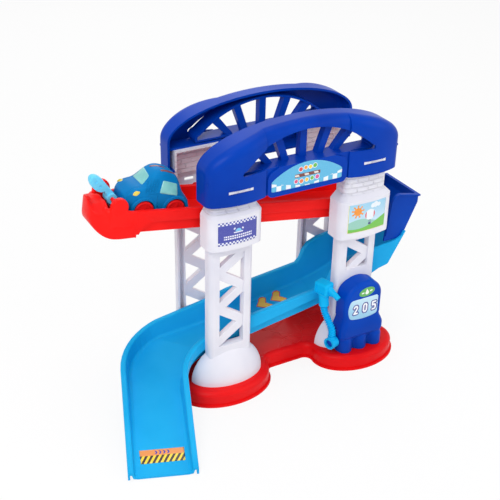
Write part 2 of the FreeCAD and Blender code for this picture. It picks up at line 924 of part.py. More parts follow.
def arch(name):
    outer = arch_volume(name + "_outer", 0.0, s.arch_foot, -s.rim_half)
    inner = arch_volume(
        name + "_inner", s.arch_wall, s.arch_foot + s.arch_wall, -s.rim_half + 2.0)
    shell = cut(name + "_shell", outer, inner)
    wall = s.arch_wall
    rim = prism(
        name + "_window_rim", "XZ", -(s.arch_front - wall / 2.0), -s.window_return,
        window_loop(2.5))
    web_reach = s.arch_half - wall / 2.0
    parts = [shell, rim]
    for tag, first, last in (("left", -web_reach, -s.cap_inner), ("right", s.cap_inner, web_reach)):
        parts.append(block(
            name + "_seat_" + tag, (first, last), (-(s.cap_edge - wall), -s.window_return),
            (s.neck_top, s.neck_top + s.shelf_thick)))
    edge = s.plate_half - s.plate_corner
    shoulder = s.plate_half - 6.0
    bow = (shoulder * shoulder + s.plate_rise * s.plate_rise) / (2.0 * s.plate_rise)
    low = s.plate_foot + s.plate_corner
    plate_front = s.arch_front + s.plate_proud
    parts.append(prism(
        name + "_plate", "XZ", -plate_front, -(plate_front - s.plate_thick),
        [(-edge, s.plate_foot, s.plate_corner), (edge, s.plate_foot),
         (s.plate_half, low, s.plate_corner), (s.plate_half, s.plate_side_top - 9.0),
         (shoulder, s.plate_side_top, 12.0), (-shoulder, s.plate_side_top, bow),
         (-s.plate_half, s.plate_side_top - 9.0, 12.0), (-s.plate_half, low)]))
    hole = prism(name + "_window", "XZ", -s.arch_front - 12.0, -s.rim_half + 3.0, window_loop(0.0))
    tools = [hole]
    gap = s.seat_gap
    for tag, side in (("left", -1), ("right", 1)):
        neck = prism(
            name + "_socket_" + tag, "XY", s.arch_foot - 1.0, s.arch_foot + wall + 1.0,
            shell_section(s.neck_half + gap, s.neck_front + gap, s.neck_sag,
                          s.neck_corner + gap, s.rim_half - 1.0))
        place_x = side * half_span
        bind(neck.Base, Placement__Base__x=place_x)
        tools.append(neck)
        half = s.tab_thick / 2.0 + gap
        tools.append(block(
            name + "_slot_" + tag, (place_x - s.tab_half - gap, place_x + s.tab_half + gap),
            (-(s.cap_edge + s.cap_bulge + 1.0), -(s.cap_edge - wall)),
            (s.tab_height - half, s.tab_height + half)))
    opened = cut(name + "_opened", fuse(name + "_whole", *parts), *tools)
    spokes = []
    for step, (top, foot) in enumerate((
            (0.0, 0.0), (s.spoke_top_near, s.spoke_foot_near), (s.spoke_top_far, s.spoke_foot_far),
            (-s.spoke_top_near, -s.spoke_foot_near), (-s.spoke_top_far, -s.spoke_foot_far))):
        spokes.append(prism(
            "%s_spoke_%d" % (name, step), "XZ", -s.spoke_front, -s.spoke_back, spoke(top, foot)))
    return fuse(name + "_solid", opened, *spokes)


front_arch = keep("arch_front", arch("arch"))
rear_arch = doc.addObject("Part::Mirroring", "rear_arch")
rear_arch.Source = front_arch
rear_arch.Normal = Vector(0, 1, 0)
rear_arch.Base = Vector(0, 0, 0)
keep("arch_rear", rear_arch)


# Deck: a sloping red trough, drawn in its own frame with the rail's top at zero height, then
# tilted, with the scoop at the high end and pegs that rest on the shelves in the towers.


def deck_point(along, height):
    # Where a point of the deck's own frame lies, along X and Z.
    return (
        along * cosine(s.deck_tilt) + height * sine(s.deck_tilt),
        s.deck_origin_height - along * sine(s.deck_tilt) + height * cosine(s.deck_tilt))


def turned(thing, axis, angle):
    thing.Placement = FreeCAD.Placement(Vector(), FreeCAD.Rotation(axis, 1.0))
    bind(thing, Placement__Rotation__Angle=angle)
    return thing


def tilted(thing, along=0.0, height=0.0):
    # Puts a piece drawn about a point of the deck's frame in its place.
    x, z = deck_point(along, height)
    return place(turned(thing, Vector(0, 1, 0), s.deck_tilt), x, 0.0, z)


def body_plane(body, role):
    for feature in body.Origin.OriginFeatures:
        if feature.Role == role:
            return feature
    raise RuntimeError("no plane " + role)


def body_sketch(body, name, role, offset, loops):
    sketch = body.newObject("Sketcher::SketchObject", name)
    sketch.AttachmentSupport = [(body_plane(body, role), "")]
    sketch.MapMode = "FlatFace"
    bind(sketch, AttachmentOffset__Base__z=offset)
    return draw_all(sketch, loops)


def channel_section():
    out = s.deck_half
    fascia = out - s.deck_wall
    side = s.deck_channel_half + s.deck_wall
    inside = s.deck_channel_half
    rail = s.deck_wall
    under = s.deck_depth + s.deck_wall
    right = [(inside, 0.0), (out, 0.0), (out, -s.fascia_height), (fascia, -s.fascia_height),
             (fascia, -rail), (side, -rail), (side, -s.deck_skirt_depth),
             (inside, -s.deck_skirt_depth), (inside, -under)]
    left = [(-u, v) for u, v in reversed(right)]
    return right + left + [(-inside, -s.deck_depth), (inside, -s.deck_depth)]


trough = doc.addObject("PartDesign::Body", "deck_trough")
trough_sketch = body_sketch(
    trough, "deck_section", "YZ_Plane", -s.deck_high_end, [channel_section()])
trough_pad = trough.newObject("PartDesign::Pad", "deck_pad")
trough_pad.Profile = (trough_sketch, [""])
bind(trough_pad, Length=s.deck_high_end + s.deck_low_end)
doc.recompute()
rail_edges = []
for number, edge in enumerate(trough_pad.Shape.Edges, 1):
    box = edge.BoundBox
    if box.XLength > s.deck_low_end and abs(box.ZMax) < 0.01 and box.ZMin > -0.01:
        rail_edges.append("Edge%d" % number)
trough_round = trough.newObject("PartDesign::Fillet", "deck_rail_round")
trough_round.Base = (trough_pad, rail_edges)
bind(trough_round, Radius=s.rail_round)


def scoop_plan(inset):
    out = s.deck_half - inset
    end = s.scoop_end - inset
    corner = s.scoop_plan_corner - inset
    straight = s.scoop_end - s.scoop_plan_corner
    across = s.deck_half - s.scoop_plan_corner
    if inset == 0.0:
        near = s.scoop_step_place
    else:
        near = s.deck_high_end
    return [(-near, -out), (-near, out), (-straight, out), (-end, across, corner), (-end, -across),
            (-straight, -out, corner)]


def scoop_side():
    return [
        (-s.scoop_heel_place, -s.scoop_depth, s.scoop_heel_radius),
        (-s.scoop_step_place, -s.scoop_step_depth),
        (-s.scoop_step_place, 0.0), (-s.scoop_rim_place, 0.0),
        (-(s.scoop_crest_place - 5.0), s.scoop_crest, -18.0),
        (-(s.scoop_crest_place + 4.0), s.scoop_crest - 3.0, 5.5), (-s.scoop_end, -10.0)]


def scoop_inside():
    wall = s.scoop_wall
    low = s.scoop_step_depth - wall
    return [
        (-(s.scoop_heel_place - wall / 2.0), -low, s.scoop_heel_radius - wall / 2.0),
        (-s.deck_high_end, -low), (-s.deck_high_end, 40.0),
        (-(s.scoop_end - wall), 40.0), (-(s.scoop_end - wall), -10.0)]


scoop_outer = common(
    "scoop_outer",
    prism("scoop_side", "XZ", -s.deck_half, s.deck_half, scoop_side()),
    prism("scoop_plan", "XY", -60.0, 40.0, scoop_plan(0.0)))
scoop_inner = common(
    "scoop_inner",
    prism("scoop_inside", "XZ", -s.deck_half, s.deck_half, scoop_inside()),
    prism("scoop_inner_plan", "XY", -60.0, 60.0, scoop_plan(s.scoop_wall)))
scoop_gate = block(
    "scoop_gate", (-(s.deck_high_end + 1.0), -(s.scoop_step_place - 1.0)),
    (-s.deck_channel_half, s.deck_channel_half), (-s.deck_depth, 30.0))
# The scoop's rim has its crest in the middle of the end and dips at both corners.
dip_bow = (s.deck_half * s.deck_half + (s.scoop_crest + s.scoop_dip) * (s.scoop_crest + s.scoop_dip))
dip_bow = dip_bow / (2.0 * (s.scoop_crest + s.scoop_dip))
crest_arch = prism(
    "scoop_crest_arch", "YZ", -(s.scoop_end + 5.0), -s.deck_high_end,
    [(-s.deck_half, -60.0), (s.deck_half, -60.0), (s.deck_half, -s.scoop_dip),
     (-s.deck_half, -s.scoop_dip, dip_bow)])
rim_dip = cut("scoop_rim_dip", prism(
    "scoop_dip_side", "XZ", -(s.deck_half + 1.0), s.deck_half + 1.0,
    [(-(s.scoop_end + 4.0), -12.0), (-(s.scoop_dip_place + 14.0), -12.0),
     (-s.scoop_dip_place, 1.0), (-s.scoop_dip_place, 30.0), (-(s.scoop_end + 4.0), 30.0)]),
    crest_arch)
ear_parts = []
sweeps = []
for tag, side in (("front", -1), ("back", 1)):
    near = s.ear_inner if side > 0 else -s.ear_outer
    far = s.ear_outer if side > 0 else -s.ear_inner
    left = -(s.pivot_place + s.ear_half)
    right = -(s.pivot_place - s.ear_half)
    ear_parts.append(prism(
        "ear_" + tag, "XZ", near, far,
        [(left, -12.0), (right, -12.0), (right, s.pivot_height),
         (-s.pivot_place, s.pivot_height + s.ear_half, s.ear_half),
         (left, s.pivot_height, s.ear_half)]))
    near = s.deck_half - s.deck_wall if side > 0 else -s.deck_half
    far = s.deck_half if side > 0 else -(s.deck_half - s.deck_wall)
    sweeps.append(prism(
        "sweep_" + tag, "XZ", near, far,
        [(-(s.scoop_step_place + 1.0), -(s.fascia_height - 1.0)),
         (-(s.scoop_step_place + 1.0), -(s.skirt_step_depth)),
         (-(s.scoop_step_place - 3.0), -(s.skirt_step_depth)),
         (-s.sweep_place, -s.fascia_height, -s.sweep_radius),
         (-s.sweep_place, -(s.fascia_height - 1.0))]))
pin_hole = rod(
    "pivot_hole", Vector(0, 1, 0), s.pivot_pin_radius + s.pin_fit,
    (-s.pivot_place, -s.pin_half - s.pin_fit, s.pivot_height), 2.0 * (s.pin_half + s.pin_fit))
scoop = cut("scoop", scoop_outer, scoop_inner, scoop_gate, rim_dip)
deck_local = cut(
    "deck_local", fuse("deck_joined", trough, scoop, *ear_parts, *sweeps), pin_hole)
tilted(deck_local)
pegs = []
for tag, side in (("left", -1), ("right", 1)):
    at = side * half_span
    level = deck_height(at) - s.deck_peg_drop
    start = s.deck_channel_half + s.deck_wall / 2.0
    for face, out in (("front", -1), ("back", 1)):
        first = -s.deck_peg_reach if out < 0 else start
        pegs.append(rod(
            "deck_peg_%s_%s" % (tag, face), Vector(0, 1, 0), s.deck_peg_radius,
            (at, first, level), s.deck_peg_reach - start))
keep("deck", fuse("deck_solid", deck_local, *pegs))


# Launching lever: a hub on a pin between the ears, a thick arm that lies in the plane of its
# swing and ends in an oval thumb grip, and a kicker plate before the car's nose. The arm lies
# along +X in its own frame, with its straight edge on the -Z side.

pivot_x, pivot_z = deck_point(-s.pivot_place, s.pivot_height)
keep("lever_pin", rod(
    "lever_pin_rod", Vector(0, 1, 0), s.pivot_pin_radius, (pivot_x, -s.pin_half, pivot_z),
    2.0 * s.pin_half))
arm_half = s.arm_thick / 2.0
hub = rod(
    "lever_hub", Vector(0, 1, 0), s.hub_radius, (0.0, -s.hub_half, 0.0), 2.0 * s.hub_half)
arm_edge = -s.paddle_half_width
arm = prism(
    "lever_arm", "XY", -arm_half, arm_half,
    [(0.0, arm_edge + 1.0), (s.paddle_reach, arm_edge), (s.paddle_reach, 0.0),
     (s.arm_reach, arm_edge + s.arm_neck), (0.0, arm_edge + 1.0 + s.arm_width)])
paddle = oval_prism(
    "lever_paddle", (s.paddle_reach, 0.0), s.paddle_half_length, s.paddle_half_width,
    -arm_half, arm_half)
grip = rounded(
    "lever_grip", fuse("lever_blank", arm, paddle), s.lever_round,
    lambda edge, shape: edge.BoundBox.ZLength < 0.01)
dimples = []
for step in (-0.5, 0.5):
    dimples.append(rod(
        "lever_dimple_%d" % (step + 1.5), Vector(0, 0, 1), s.dimple_radius,
        (s.paddle_reach + step * s.dimple_pitch, 0.0, arm_half - s.dimple_depth),
        s.dimple_depth + 1.0))
blade = turned(cut("lever_blade", grip, *dimples), Vector(1, 0, 0), 90.0)
kicker_root = s.hub_radius - 2.0
kicker = block(
    "lever_kicker", (0.0, s.kicker_reach - kicker_root), (-s.kicker_half, s.kicker_half),
    (0.0, s.kicker_thick))
kicker_turn = s.kicker_angle - s.arm_angle
turned(kicker, Vector(0, -1, 0), kicker_turn)
place(
    kicker, kicker_root * cosine(kicker_turn) + sine(kicker_turn) * s.kicker_thick / 2.0,
    -s.kicker_half,
    kicker_root * sine(kicker_turn) - cosine(kicker_turn) * s.kicker_thick / 2.0)
bore = rod(
    "lever_bore", Vector(0, 1, 0), s.pivot_pin_radius + s.pivot_play,
    (0.0, -s.hub_half - 1.0, 0.0), 2.0 * s.hub_half + 2.0)
lever = cut("lever_solid", fuse("lever_whole", hub, blade, kicker), bore)
place(turned(lever, Vector(0, -1, 0), s.arm_angle), pivot_x, 0.0, pivot_z)
keep("launch_lever", lever)


# Chute: two cheeks and a leaning end wall, open above, below and towards the deck, with a lip
# along the edges. It stands in the end of the ramp.

end_slope = (s.chute_end - s.chute_joint_place) / (s.chute_end_foot - s.chute_joint)
ramp_end_slope = (s.ramp_end_top_place - s.ramp_end_foot_place) / (s.ramp_end_top - s.ramp_end_foot)
ramp_end_wall = s.ramp_wall * root(1.0 + ramp_end_slope * ramp_end_slope)
chute_end_wall = s.chute_wall * root(1.0 + end_slope * end_slope)
inner_end = s.ramp_end_top_place - ramp_end_wall - s.seat_gap * 1.4
nested_foot = inner_end - ramp_end_slope * (s.ramp_end_top - s.chute_foot)
chute_outer = prism(
    "chute_outer", "XZ", -s.chute_half, s.chute_half,
    [(s.chute_edge_foot, s.chute_foot), (nested_foot, s.chute_foot),
     (inner_end, s.chute_joint), (s.chute_joint_place, s.chute_joint),
     (s.chute_end, s.chute_end_foot), (s.chute_end, s.chute_end_top),
     (s.chute_crown_place, s.chute_crown),
     (s.chute_edge_top, s.chute_edge_height, s.chute_corner)])
chute_inside = s.chute_half - s.chute_wall
chute_inner = prism(
    "chute_inner", "XZ", -chute_inside, chute_inside,
    [(s.chute_edge_foot - 20.0, s.chute_foot - 5.0),
     (nested_foot - chute_end_wall - 5.0 * ramp_end_slope, s.chute_foot - 5.0),
     (inner_end - chute_end_wall, s.chute_joint),
     (s.chute_end - chute_end_wall, s.chute_end_foot),
     (s.chute_end - chute_end_wall, s.chute_crown + 20.0),
     (s.chute_edge_foot - 20.0, s.chute_crown + 20.0)])
lip = s.chute_rim
lips = []
for tag, side in (("front", -1), ("back", 1)):
    near = s.chute_half - lip if side > 0 else -(s.chute_half + lip)
    far = s.chute_half + lip if side > 0 else -(s.chute_half - lip)
    lips.append(prism(
        "chute_lip_" + tag, "XZ", near, far,
        [(s.chute_end, s.chute_end_top - lip), (s.chute_end, s.chute_end_top),
         (s.chute_crown_place, s.chute_crown),
         (s.chute_edge_top, s.chute_edge_height, s.chute_corner),
         (s.chute_edge_foot + 1.0, s.chute_foot + 8.0),
         (s.chute_edge_foot + 1.0 + lip, s.chute_foot + 8.0),
         (s.chute_edge_top + lip, s.chute_edge_height),
         (s.chute_crown_place, s.chute_crown - lip, -(s.chute_corner - lip))]))
lips.append(block(
    "chute_lip_end", (s.chute_end - lip, s.chute_end + lip),
    (-(s.chute_half + lip), s.chute_half + lip), (s.chute_end_top - lip, s.chute_end_top)))
keep("chute", cut(
    "chute_solid", fuse("chute_whole", chute_outer, *lips), chute_inner))


# Ramp: a rolled-rim trough that follows its path from under the chute, past the towers, round the
# left ones and down to the floor. Each station gives the rims' two places and their heights, and
# the trough is lofted through the stations.

TURN = math.radians(s.ramp_turn)


def section_wire(station):
    sides = []
    for place_point, inward, rail, foot in station["rims"]:
        wide = station["rail_width"]
        wall = float(s.ramp_wall)
        curl = min(float(s.ramp_curl), wide / 2.0 - 0.2)
        lean = station["lean"]
        floor = station["floor"]
        bend = min(float(s.ramp_floor_round), (rail - floor) * 0.4)
        fall = rail - curl - floor
        slope = lean / fall

        def at(inset, height, point=place_point, way=inward):
            return Vector(point[0] + way[0] * inset, point[1] + way[1] * inset, height)

        mid = curl * (1.0 - math.sqrt(0.5))
        skin = min(wall, wide * 0.4)
        roof = rail - curl - wall * 0.4
        sides.append({
            "flange": [at(0.0, foot), at(0.0, rail - curl)],
            "outer": [at(0.0, rail - curl), at(mid, rail - mid), at(curl, rail)],
            "top": [at(curl, rail), at(wide - curl, rail)],
            "inner": [at(wide - curl, rail), at(wide - mid, rail - mid), at(wide, rail - curl)],
            "wall": [at(wide, rail - curl), at(wide + lean - slope * bend, floor + bend)],
            "corner": [at(wide + lean - slope * bend, floor + bend),
                       at(wide + lean + bend * 0.24, floor + bend * 0.29),
                       at(wide + lean + bend, floor)],
            "floor": at(wide + lean + bend, floor),
            "under": [at(wide + lean + bend, floor - wall),
                      at(wide + lean - wall, floor - wall + bend * 0.4),
                      at(wide - skin, roof), at(skin, roof), at(skin, foot)],
        })
    first, last = sides
    edges = []

    def line(start, end):
        edges.append(Part.LineSegment(start, end).toShape())

    def arc(points):
        edges.append(Part.Arc(*points).toShape())

    line(*first["flange"])
    arc(first["outer"])
    line(*first["top"])
    arc(first["inner"])
    line(*first["wall"])
    arc(first["corner"])
    line(first["floor"], last["floor"])
    arc(last["corner"][::-1])
    line(*last["wall"][::-1])
    arc(last["inner"][::-1])
    line(*last["top"][::-1])
    arc(last["outer"][::-1])
    line(*last["flange"][::-1])
    below = [last["flange"][0]] + last["under"][::-1] + first["under"] + [first["flange"][0]]
    for start, end in zip(below, below[1:]):
        line(start, end)
    return Part.Wire(edges)


def straight_station(x, rail, foot, floor, rail_width):
    half = float(s.ramp_half)
    rims = [((x, half), (0.0, -1.0), rail, foot), ((x, -half), (0.0, 1.0), rail, foot)]
    return {"rims": rims, "floor": floor, "rail_width": rail_width, "lean": float(s.ramp_lean)}


def along(table, x):
    for (first, low), (last, high) in zip(table, table[1:]):
        if last <= x <= first:
            return high + (low - high) * (x - last) / (first - last)
    raise ValueError(x)


# Heights along the straight run, from the right end to the left: rail, flange foot and floor.
slope_rail = (
    (float(s.ramp_wall_end), float(s.ramp_wall_rail)), (103.0, 139.0), (83.0, 135.6),
    (70.0, 130.5), (64.0, 124.0), (58.0, 110.0), (52.0, 104.0), (-52.5, 91.9), (-83.0, 84.0),
    (-118.0, 78.0), (-160.0, 72.0))
slope_floor = (
    (float(s.ramp_wall_end), 115.0), (140.0, 107.5), (125.0, 99.5), (103.0, 91.5), (83.0, 84.5),
    (58.0, 77.5), (20.0, 71.0), (-20.0, 65.0), (-60.0, 58.5), (-83.0, 55.3), (-118.0, 51.5),
    (-160.0, 48.0))
slope_foot = (
    (float(s.ramp_wall_end), 112.5), (103.0, 102.0), (68.0, 94.6), (45.0, 91.0), (-53.0, 73.2),
    (-83.0, 67.0), (-118.0, 62.0), (-160.0, 56.0))

stations = []
for x in (150.5, 140.0, 125.0, 103.0, 83.0, 70.0, 64.0, 58.0, 52.0, 20.0, -20.0, -52.5, -83.0):
    width = 3.4 + (float(s.ramp_rail) - 3.4) * min(1.0, max(0.0, (140.0 - x) / 37.0))
    stations.append(straight_station(
        x, along(slope_rail, x), along(slope_foot, x), along(slope_floor, x), width))

exit_way = (-math.cos(TURN), -math.sin(TURN))
exit_side = (math.sin(TURN), -math.cos(TURN))
half = float(s.ramp_half)
outer_start = float(s.ramp_outer_bend_start)
outer_radius = float(s.ramp_outer_radius)
inner_start = float(s.ramp_inner_bend_start)
outer_end = (
    outer_start - outer_radius * math.sin(TURN) + exit_way[0] * float(s.ramp_exit_length),
    half - outer_radius * (1.0 - math.cos(TURN)) + exit_way[1] * float(s.ramp_exit_length))
inner_end_point = tuple(
    outer_end[axis] + exit_side[axis] * float(s.ramp_exit_width) for axis in (0, 1))
inner_radius = (
    (inner_start - inner_end_point[0]) * math.sin(TURN)
    + (half + inner_end_point[1]) * math.cos(TURN)) / (1.0 - math.cos(TURN))
arc_end = (
    inner_start - inner_radius * math.sin(TURN), -half - inner_radius * (1.0 - math.cos(TURN)))
inner_exit = math.hypot(inner_end_point[0] - arc_end[0], inner_end_point[1] - arc_end[1])
outer_total = outer_radius * TURN + float(s.ramp_exit_length)
inner_total = inner_radius * TURN + inner_exit
exit_rail = float(s.ramp_exit_rail)
exit_floor = float(s.ramp_exit_floor)


def bend_station(angle, beyond):
    # A station round the bend, and then a share of the way down the exit.
    sine_a = math.sin(angle)
    cosine_a = math.cos(angle)
    rims = []
    for outer in (True, False):
        radius = outer_radius if outer else inner_radius
        start = outer_start if outer else inner_start
        level = half if outer else -half
        run = float(s.ramp_exit_length) if outer else inner_exit
        total = outer_total if outer else inner_total
        x = start - radius * sine_a - cosine_a * beyond * run
        y = level - radius * (1.0 - cosine_a) - sine_a * beyond * run
        share = (radius * angle + beyond * run) / total
        top = along(slope_rail, start)
        rail = top + (exit_rail - top) * share
        drop = top - along(slope_foot, start) if outer else float(s.ramp_bend_drop)
        drop = drop + (exit_rail - drop) * share
        inward = (sine_a, -cosine_a) if outer else (-sine_a, cosine_a)
        rims.append(((x, y), inward, rail, rail - drop))
    share = (angle / TURN) * 0.42 + beyond * 0.58
    begin = along(slope_floor, (outer_start + inner_start) / 2.0)
    return {
        "rims": rims, "floor": begin + (exit_floor - begin) * share,
        "rail_width": float(s.ramp_rail), "lean": float(s.ramp_lean) * (1.0 - share * 0.5)}


bend_steps = 9
for step in range(bend_steps + 1):
    stations.append(bend_station(TURN * step / bend_steps, 0.0))
for beyond in (0.25, 0.5, 0.75, 1.0):
    stations.append(bend_station(TURN, beyond))
trough_shape = Part.makeLoft([section_wire(station) for station in stations], True, True)
ramp_trough = doc.addObject("Part::Feature", "ramp_trough")
ramp_trough.Shape = trough_shape
cheeks = []
cheek_top = s.ramp_wall_rail
for tag, side in (("front", -1), ("back", 1)):
    near = s.ramp_half - s.ramp_wall if side > 0 else -s.ramp_half
    far = s.ramp_half if side > 0 else -(s.ramp_half - s.ramp_wall)
    cheeks.append(prism(
        "ramp_cheek_" + tag, "XZ", near, far,
        [(s.ramp_wall_end, s.ramp_end_foot), (s.ramp_end_foot_place, s.ramp_end_foot),
         (s.ramp_end_top_place, s.ramp_end_top),
         (s.ramp_wall_end, cheek_top, -s.ramp_cheek_radius)]))
inner_line = ramp_end_wall
end_wall = prism(
    "ramp_end_wall", "XZ", -s.ramp_half, s.ramp_half,
    [(s.ramp_end_foot_place - inner_line, s.ramp_end_foot),
     (s.ramp_end_foot_place, s.ramp_end_foot), (s.ramp_end_top_place, s.ramp_end_top),
     (s.ramp_end_top_place - inner_line, s.ramp_end_top)])
ramp_pegs = []
for tag, side, level in (
        ("left", -1, s.ramp_left_peg_height), ("right", 1, s.ramp_right_peg_height)):
    at = side * (half_span - s.ramp_peg_offset)
    start = s.ramp_half - s.ramp_wall / 2.0
    for face, out in (("front", -1), ("back", 1)):
        first = -s.ramp_peg_reach if out < 0 else start
        ramp_pegs.append(rod(
            "ramp_peg_%s_%s" % (tag, face), Vector(0, 1, 0), s.ramp_peg_radius,
            (at, first, level), s.ramp_peg_reach - start))
keep("ramp", fuse("ramp_solid", ramp_trough, *cheeks, end_wall, *ramp_pegs))


# Pump: a housing open at its back, which stands on the base against the front right tower, with
# three rounded toes in front and a peg at its left that carries the hose's eye.


def pump_outline(inset):
    flank = s.pump_half - inset
    crown = s.pump_crown_half - inset / 3.0
    high = s.pump_crown_foot - inset
    bow = s.pump_crown_half * s.pump_crown_half + s.pump_crown_rise * s.pump_crown_rise
    bow = bow / (2.0 * s.pump_crown_rise)
    foot = s.base_height - inset
    dome = s.pump_dome_radius - inset
    middle_x = s.pump_place
    return [
        (middle_x - flank, foot), (middle_x + flank, foot), (middle_x + flank, s.pump_dome_foot),
        (middle_x + crown, high, dome), (middle_x - crown, high, bow),
        (middle_x - flank, s.pump_dome_foot, dome)]


def skirt_outline(inset):
    middle_x = s.pump_place
    foot = s.pump_skirt_foot + inset
    wide = s.pump_skirt_half - inset
    slim = s.pump_half - inset
    return [
        (middle_x - wide, foot), (middle_x + wide, foot), (middle_x + wide, s.pump_shoulder),
        (middle_x + slim, s.pump_skirt_top - inset), (middle_x - slim, s.pump_skirt_top - inset),
        (middle_x - wide, s.pump_shoulder)]


def rim_at(front):
    def chosen(edge, shape):
        box = edge.BoundBox
        at_front = abs(box.YMin + front) < 0.01 and box.YLength < 0.01
        return at_front and box.ZMax > s.base_height + 0.5

    return chosen


pump_case = rounded(
    "pump_case", prism("pump_block", "XZ", -s.pump_front, -s.pump_back, pump_outline(0.0)),
    s.pump_round, rim_at(s.pump_front))
pump_skirt = rounded(
    "pump_skirt", prism(
        "pump_skirt_block", "XZ", -s.pump_skirt_front, -s.pump_back, skirt_outline(0.0)),
    s.pump_skirt_round, rim_at(s.pump_skirt_front))
pump_plinth = block(
    "pump_plinth",
    (s.pump_place - s.pump_plinth_half, s.pump_place + s.pump_plinth_half),
    (-s.pump_plinth_front, -s.pump_back), (s.base_height, s.pump_skirt_foot + s.pump_wall))
toes = []
for step in (-1, 0, 1):
    toe = doc.addObject("Part::Ellipsoid", "pump_toe_%d" % (step + 2))
    bind(toe, Radius1=s.toe_height, Radius2=s.toe_half, Radius3=s.toe_depth,
         Angle1=0.0, Angle2=90.0, Angle3=360.0)
    toes.append(place(
        toe, s.pump_place + s.toe_shift + step * s.toe_pitch, -s.toe_out, s.base_height))


def at_eye(thing):
    # Turns a piece drawn about the eye's centre, with its axle along X, and sets it in place.
    turned(thing, Vector(0, 0, 1), s.eye_turn)
    return place(thing, s.eye_place, -s.eye_out, s.eye_height)


half_eye = s.eye_length / 2.0
boss = rod(
    "pump_boss_rod", Vector(1, 0, 0), s.boss_radius, (half_eye + s.seat_gap, 0.0, 0.0),
    s.boss_length)
peg = rod(
    "pump_peg_rod", Vector(1, 0, 0), s.peg_radius, (s.peg_recess - half_eye, 0.0, 0.0),
    s.eye_length - s.peg_recess + s.seat_gap + s.boss_length / 2.0)
pump_peg = at_eye(fuse("pump_peg", boss, peg))
wall = s.pump_wall
pump_hollows = [
    prism(
        "pump_hollow", "XZ", -(s.pump_front - wall), -(s.pump_back - 1.0), pump_outline(wall)),
    prism(
        "pump_skirt_hollow", "XZ", -(s.pump_skirt_front - wall), -(s.pump_back - 1.0),
        skirt_outline(wall)),
    block(
        "pump_plinth_hollow",
        (s.pump_place - s.pump_plinth_half + wall, s.pump_place + s.pump_plinth_half - wall),
        (-(s.pump_plinth_front - wall), -(s.pump_back - 1.0)),
        (s.base_height - wall, s.pump_skirt_foot + 2.0 * wall))]
bell_gap = quarter_bell(
    "pump_bell_gap", 0.0, s.base_height, s.bell_half_length + s.seat_gap,
    s.bell_depth + s.seat_gap, s.bell_rise + s.seat_gap)
place(bell_gap, half_span, -s.rim_half, s.base_height)
pump_shell = cut(
    "pump_shell", fuse("pump_form", pump_case, pump_skirt, pump_plinth), *pump_hollows)
keep("pump_body", cut("pump_solid", fuse("pump_whole", pump_shell, pump_peg, *toes), bell_gap))


# Hose: an eye that turns on the pump's peg, a ribbed tube that leans back, and the nozzle. All
# three are drawn about the eye's centre, with the peg along X.

eye_bore = rod(
    "eye_bore", Vector(1, 0, 0), s.peg_radius + s.peg_play, (-half_eye - 1.0, 0.0, 0.0),
    s.eye_length + 2.0)
eye_ring = rod("eye_ring", Vector(1, 0, 0), s.eye_radius, (-half_eye, 0.0, 0.0), s.eye_length)
stub_foot = s.eye_radius - 2.0
eye_stub = rod(
    "eye_stub", Vector(0, 0, 1), s.stub_radius, (0.0, 0.0, stub_foot),
    s.stub_height - stub_foot)
keep("hose_eye", at_eye(fuse("eye_solid", cut("eye_bored", eye_ring, eye_bore), eye_stub)))

hose_route = (
    ("run", float(s.hose_end_run)), ("turn", float(s.hose_bend)), ("run", float(s.hose_run)),
    ("turn", float(s.hose_lean - s.hose_bend)), ("run", float(s.hose_end_run)))


def on_route(distance):
    # The point and the lean of the hose at a distance along it.
    radius = float(s.hose_bend_radius)
    y = 0.0
    z = float(s.stub_height)
    lean = 0.0
    left = distance
    for number, (kind, amount) in enumerate(hose_route):
        last = number == len(hose_route) - 1
        if kind == "run":
            step = left if last or left < amount else amount
            y += step * math.sin(lean)
            z += step * math.cos(lean)
            left -= step
        else:
            side = 1.0 if amount > 0 else -1.0
            length = radius * math.radians(abs(amount))
            step = min(left, length)
            turn = side * step / radius
            y += side * radius * (math.cos(lean) - math.cos(lean + turn))
            z += side * radius * (math.sin(lean + turn) - math.sin(lean))
            lean += turn
            left -= step
        if left <= 0.0:
            break
    return y, z, lean


def ring(distance, radius):
    y, z, lean = on_route(distance)
    circle = Part.Circle(
        Vector(0.0, y, z), Vector(0.0, math.sin(lean), math.cos(lean)), radius)
    circle.XAxis = Vector(1.0, 0.0, 0.0)
    return Part.Wire([circle.toShape()])


hose_length = 2.0 * s.hose_end_run + s.hose_run
hose_length = float(hose_length) + float(s.hose_bend_radius) * math.radians(
    float(s.hose_bend * 2.0 - s.hose_lean))
pitch = float(s.rib_pitch)
ribs_total = int(s.rib_count)
lead = (hose_length - pitch * ribs_total) / 2.0
rings = [ring(0.0, float(s.hose_root_radius))]
for number in range(ribs_total):
    start = lead + pitch * number
    for share, radius in (
            (0.15, s.hose_root_radius), (0.35, s.hose_radius), (0.65, s.hose_radius),
            (0.85, s.hose_root_radius)):
        rings.append(ring(start + pitch * share, float(radius)))
rings.append(ring(hose_length, float(s.hose_root_radius)))
tube = Part.makeLoft(rings, True, True)
bore_rings = [ring(lead * 0.5 + hose_length * step / 24.0 - lead, float(s.hose_bore))
              for step in range(1, 25)]
bore_rings = [ring(0.0, float(s.hose_bore))] + bore_rings[:-1] + [
    ring(hose_length, float(s.hose_bore))]
tube = tube.cut(Part.makeLoft(bore_rings, True, True))
hose = doc.addObject("Part::Feature", "hose_tube")
hose.Shape = tube
keep("pump_hose", at_eye(hose))
print("hose length %.1f" % hose_length)

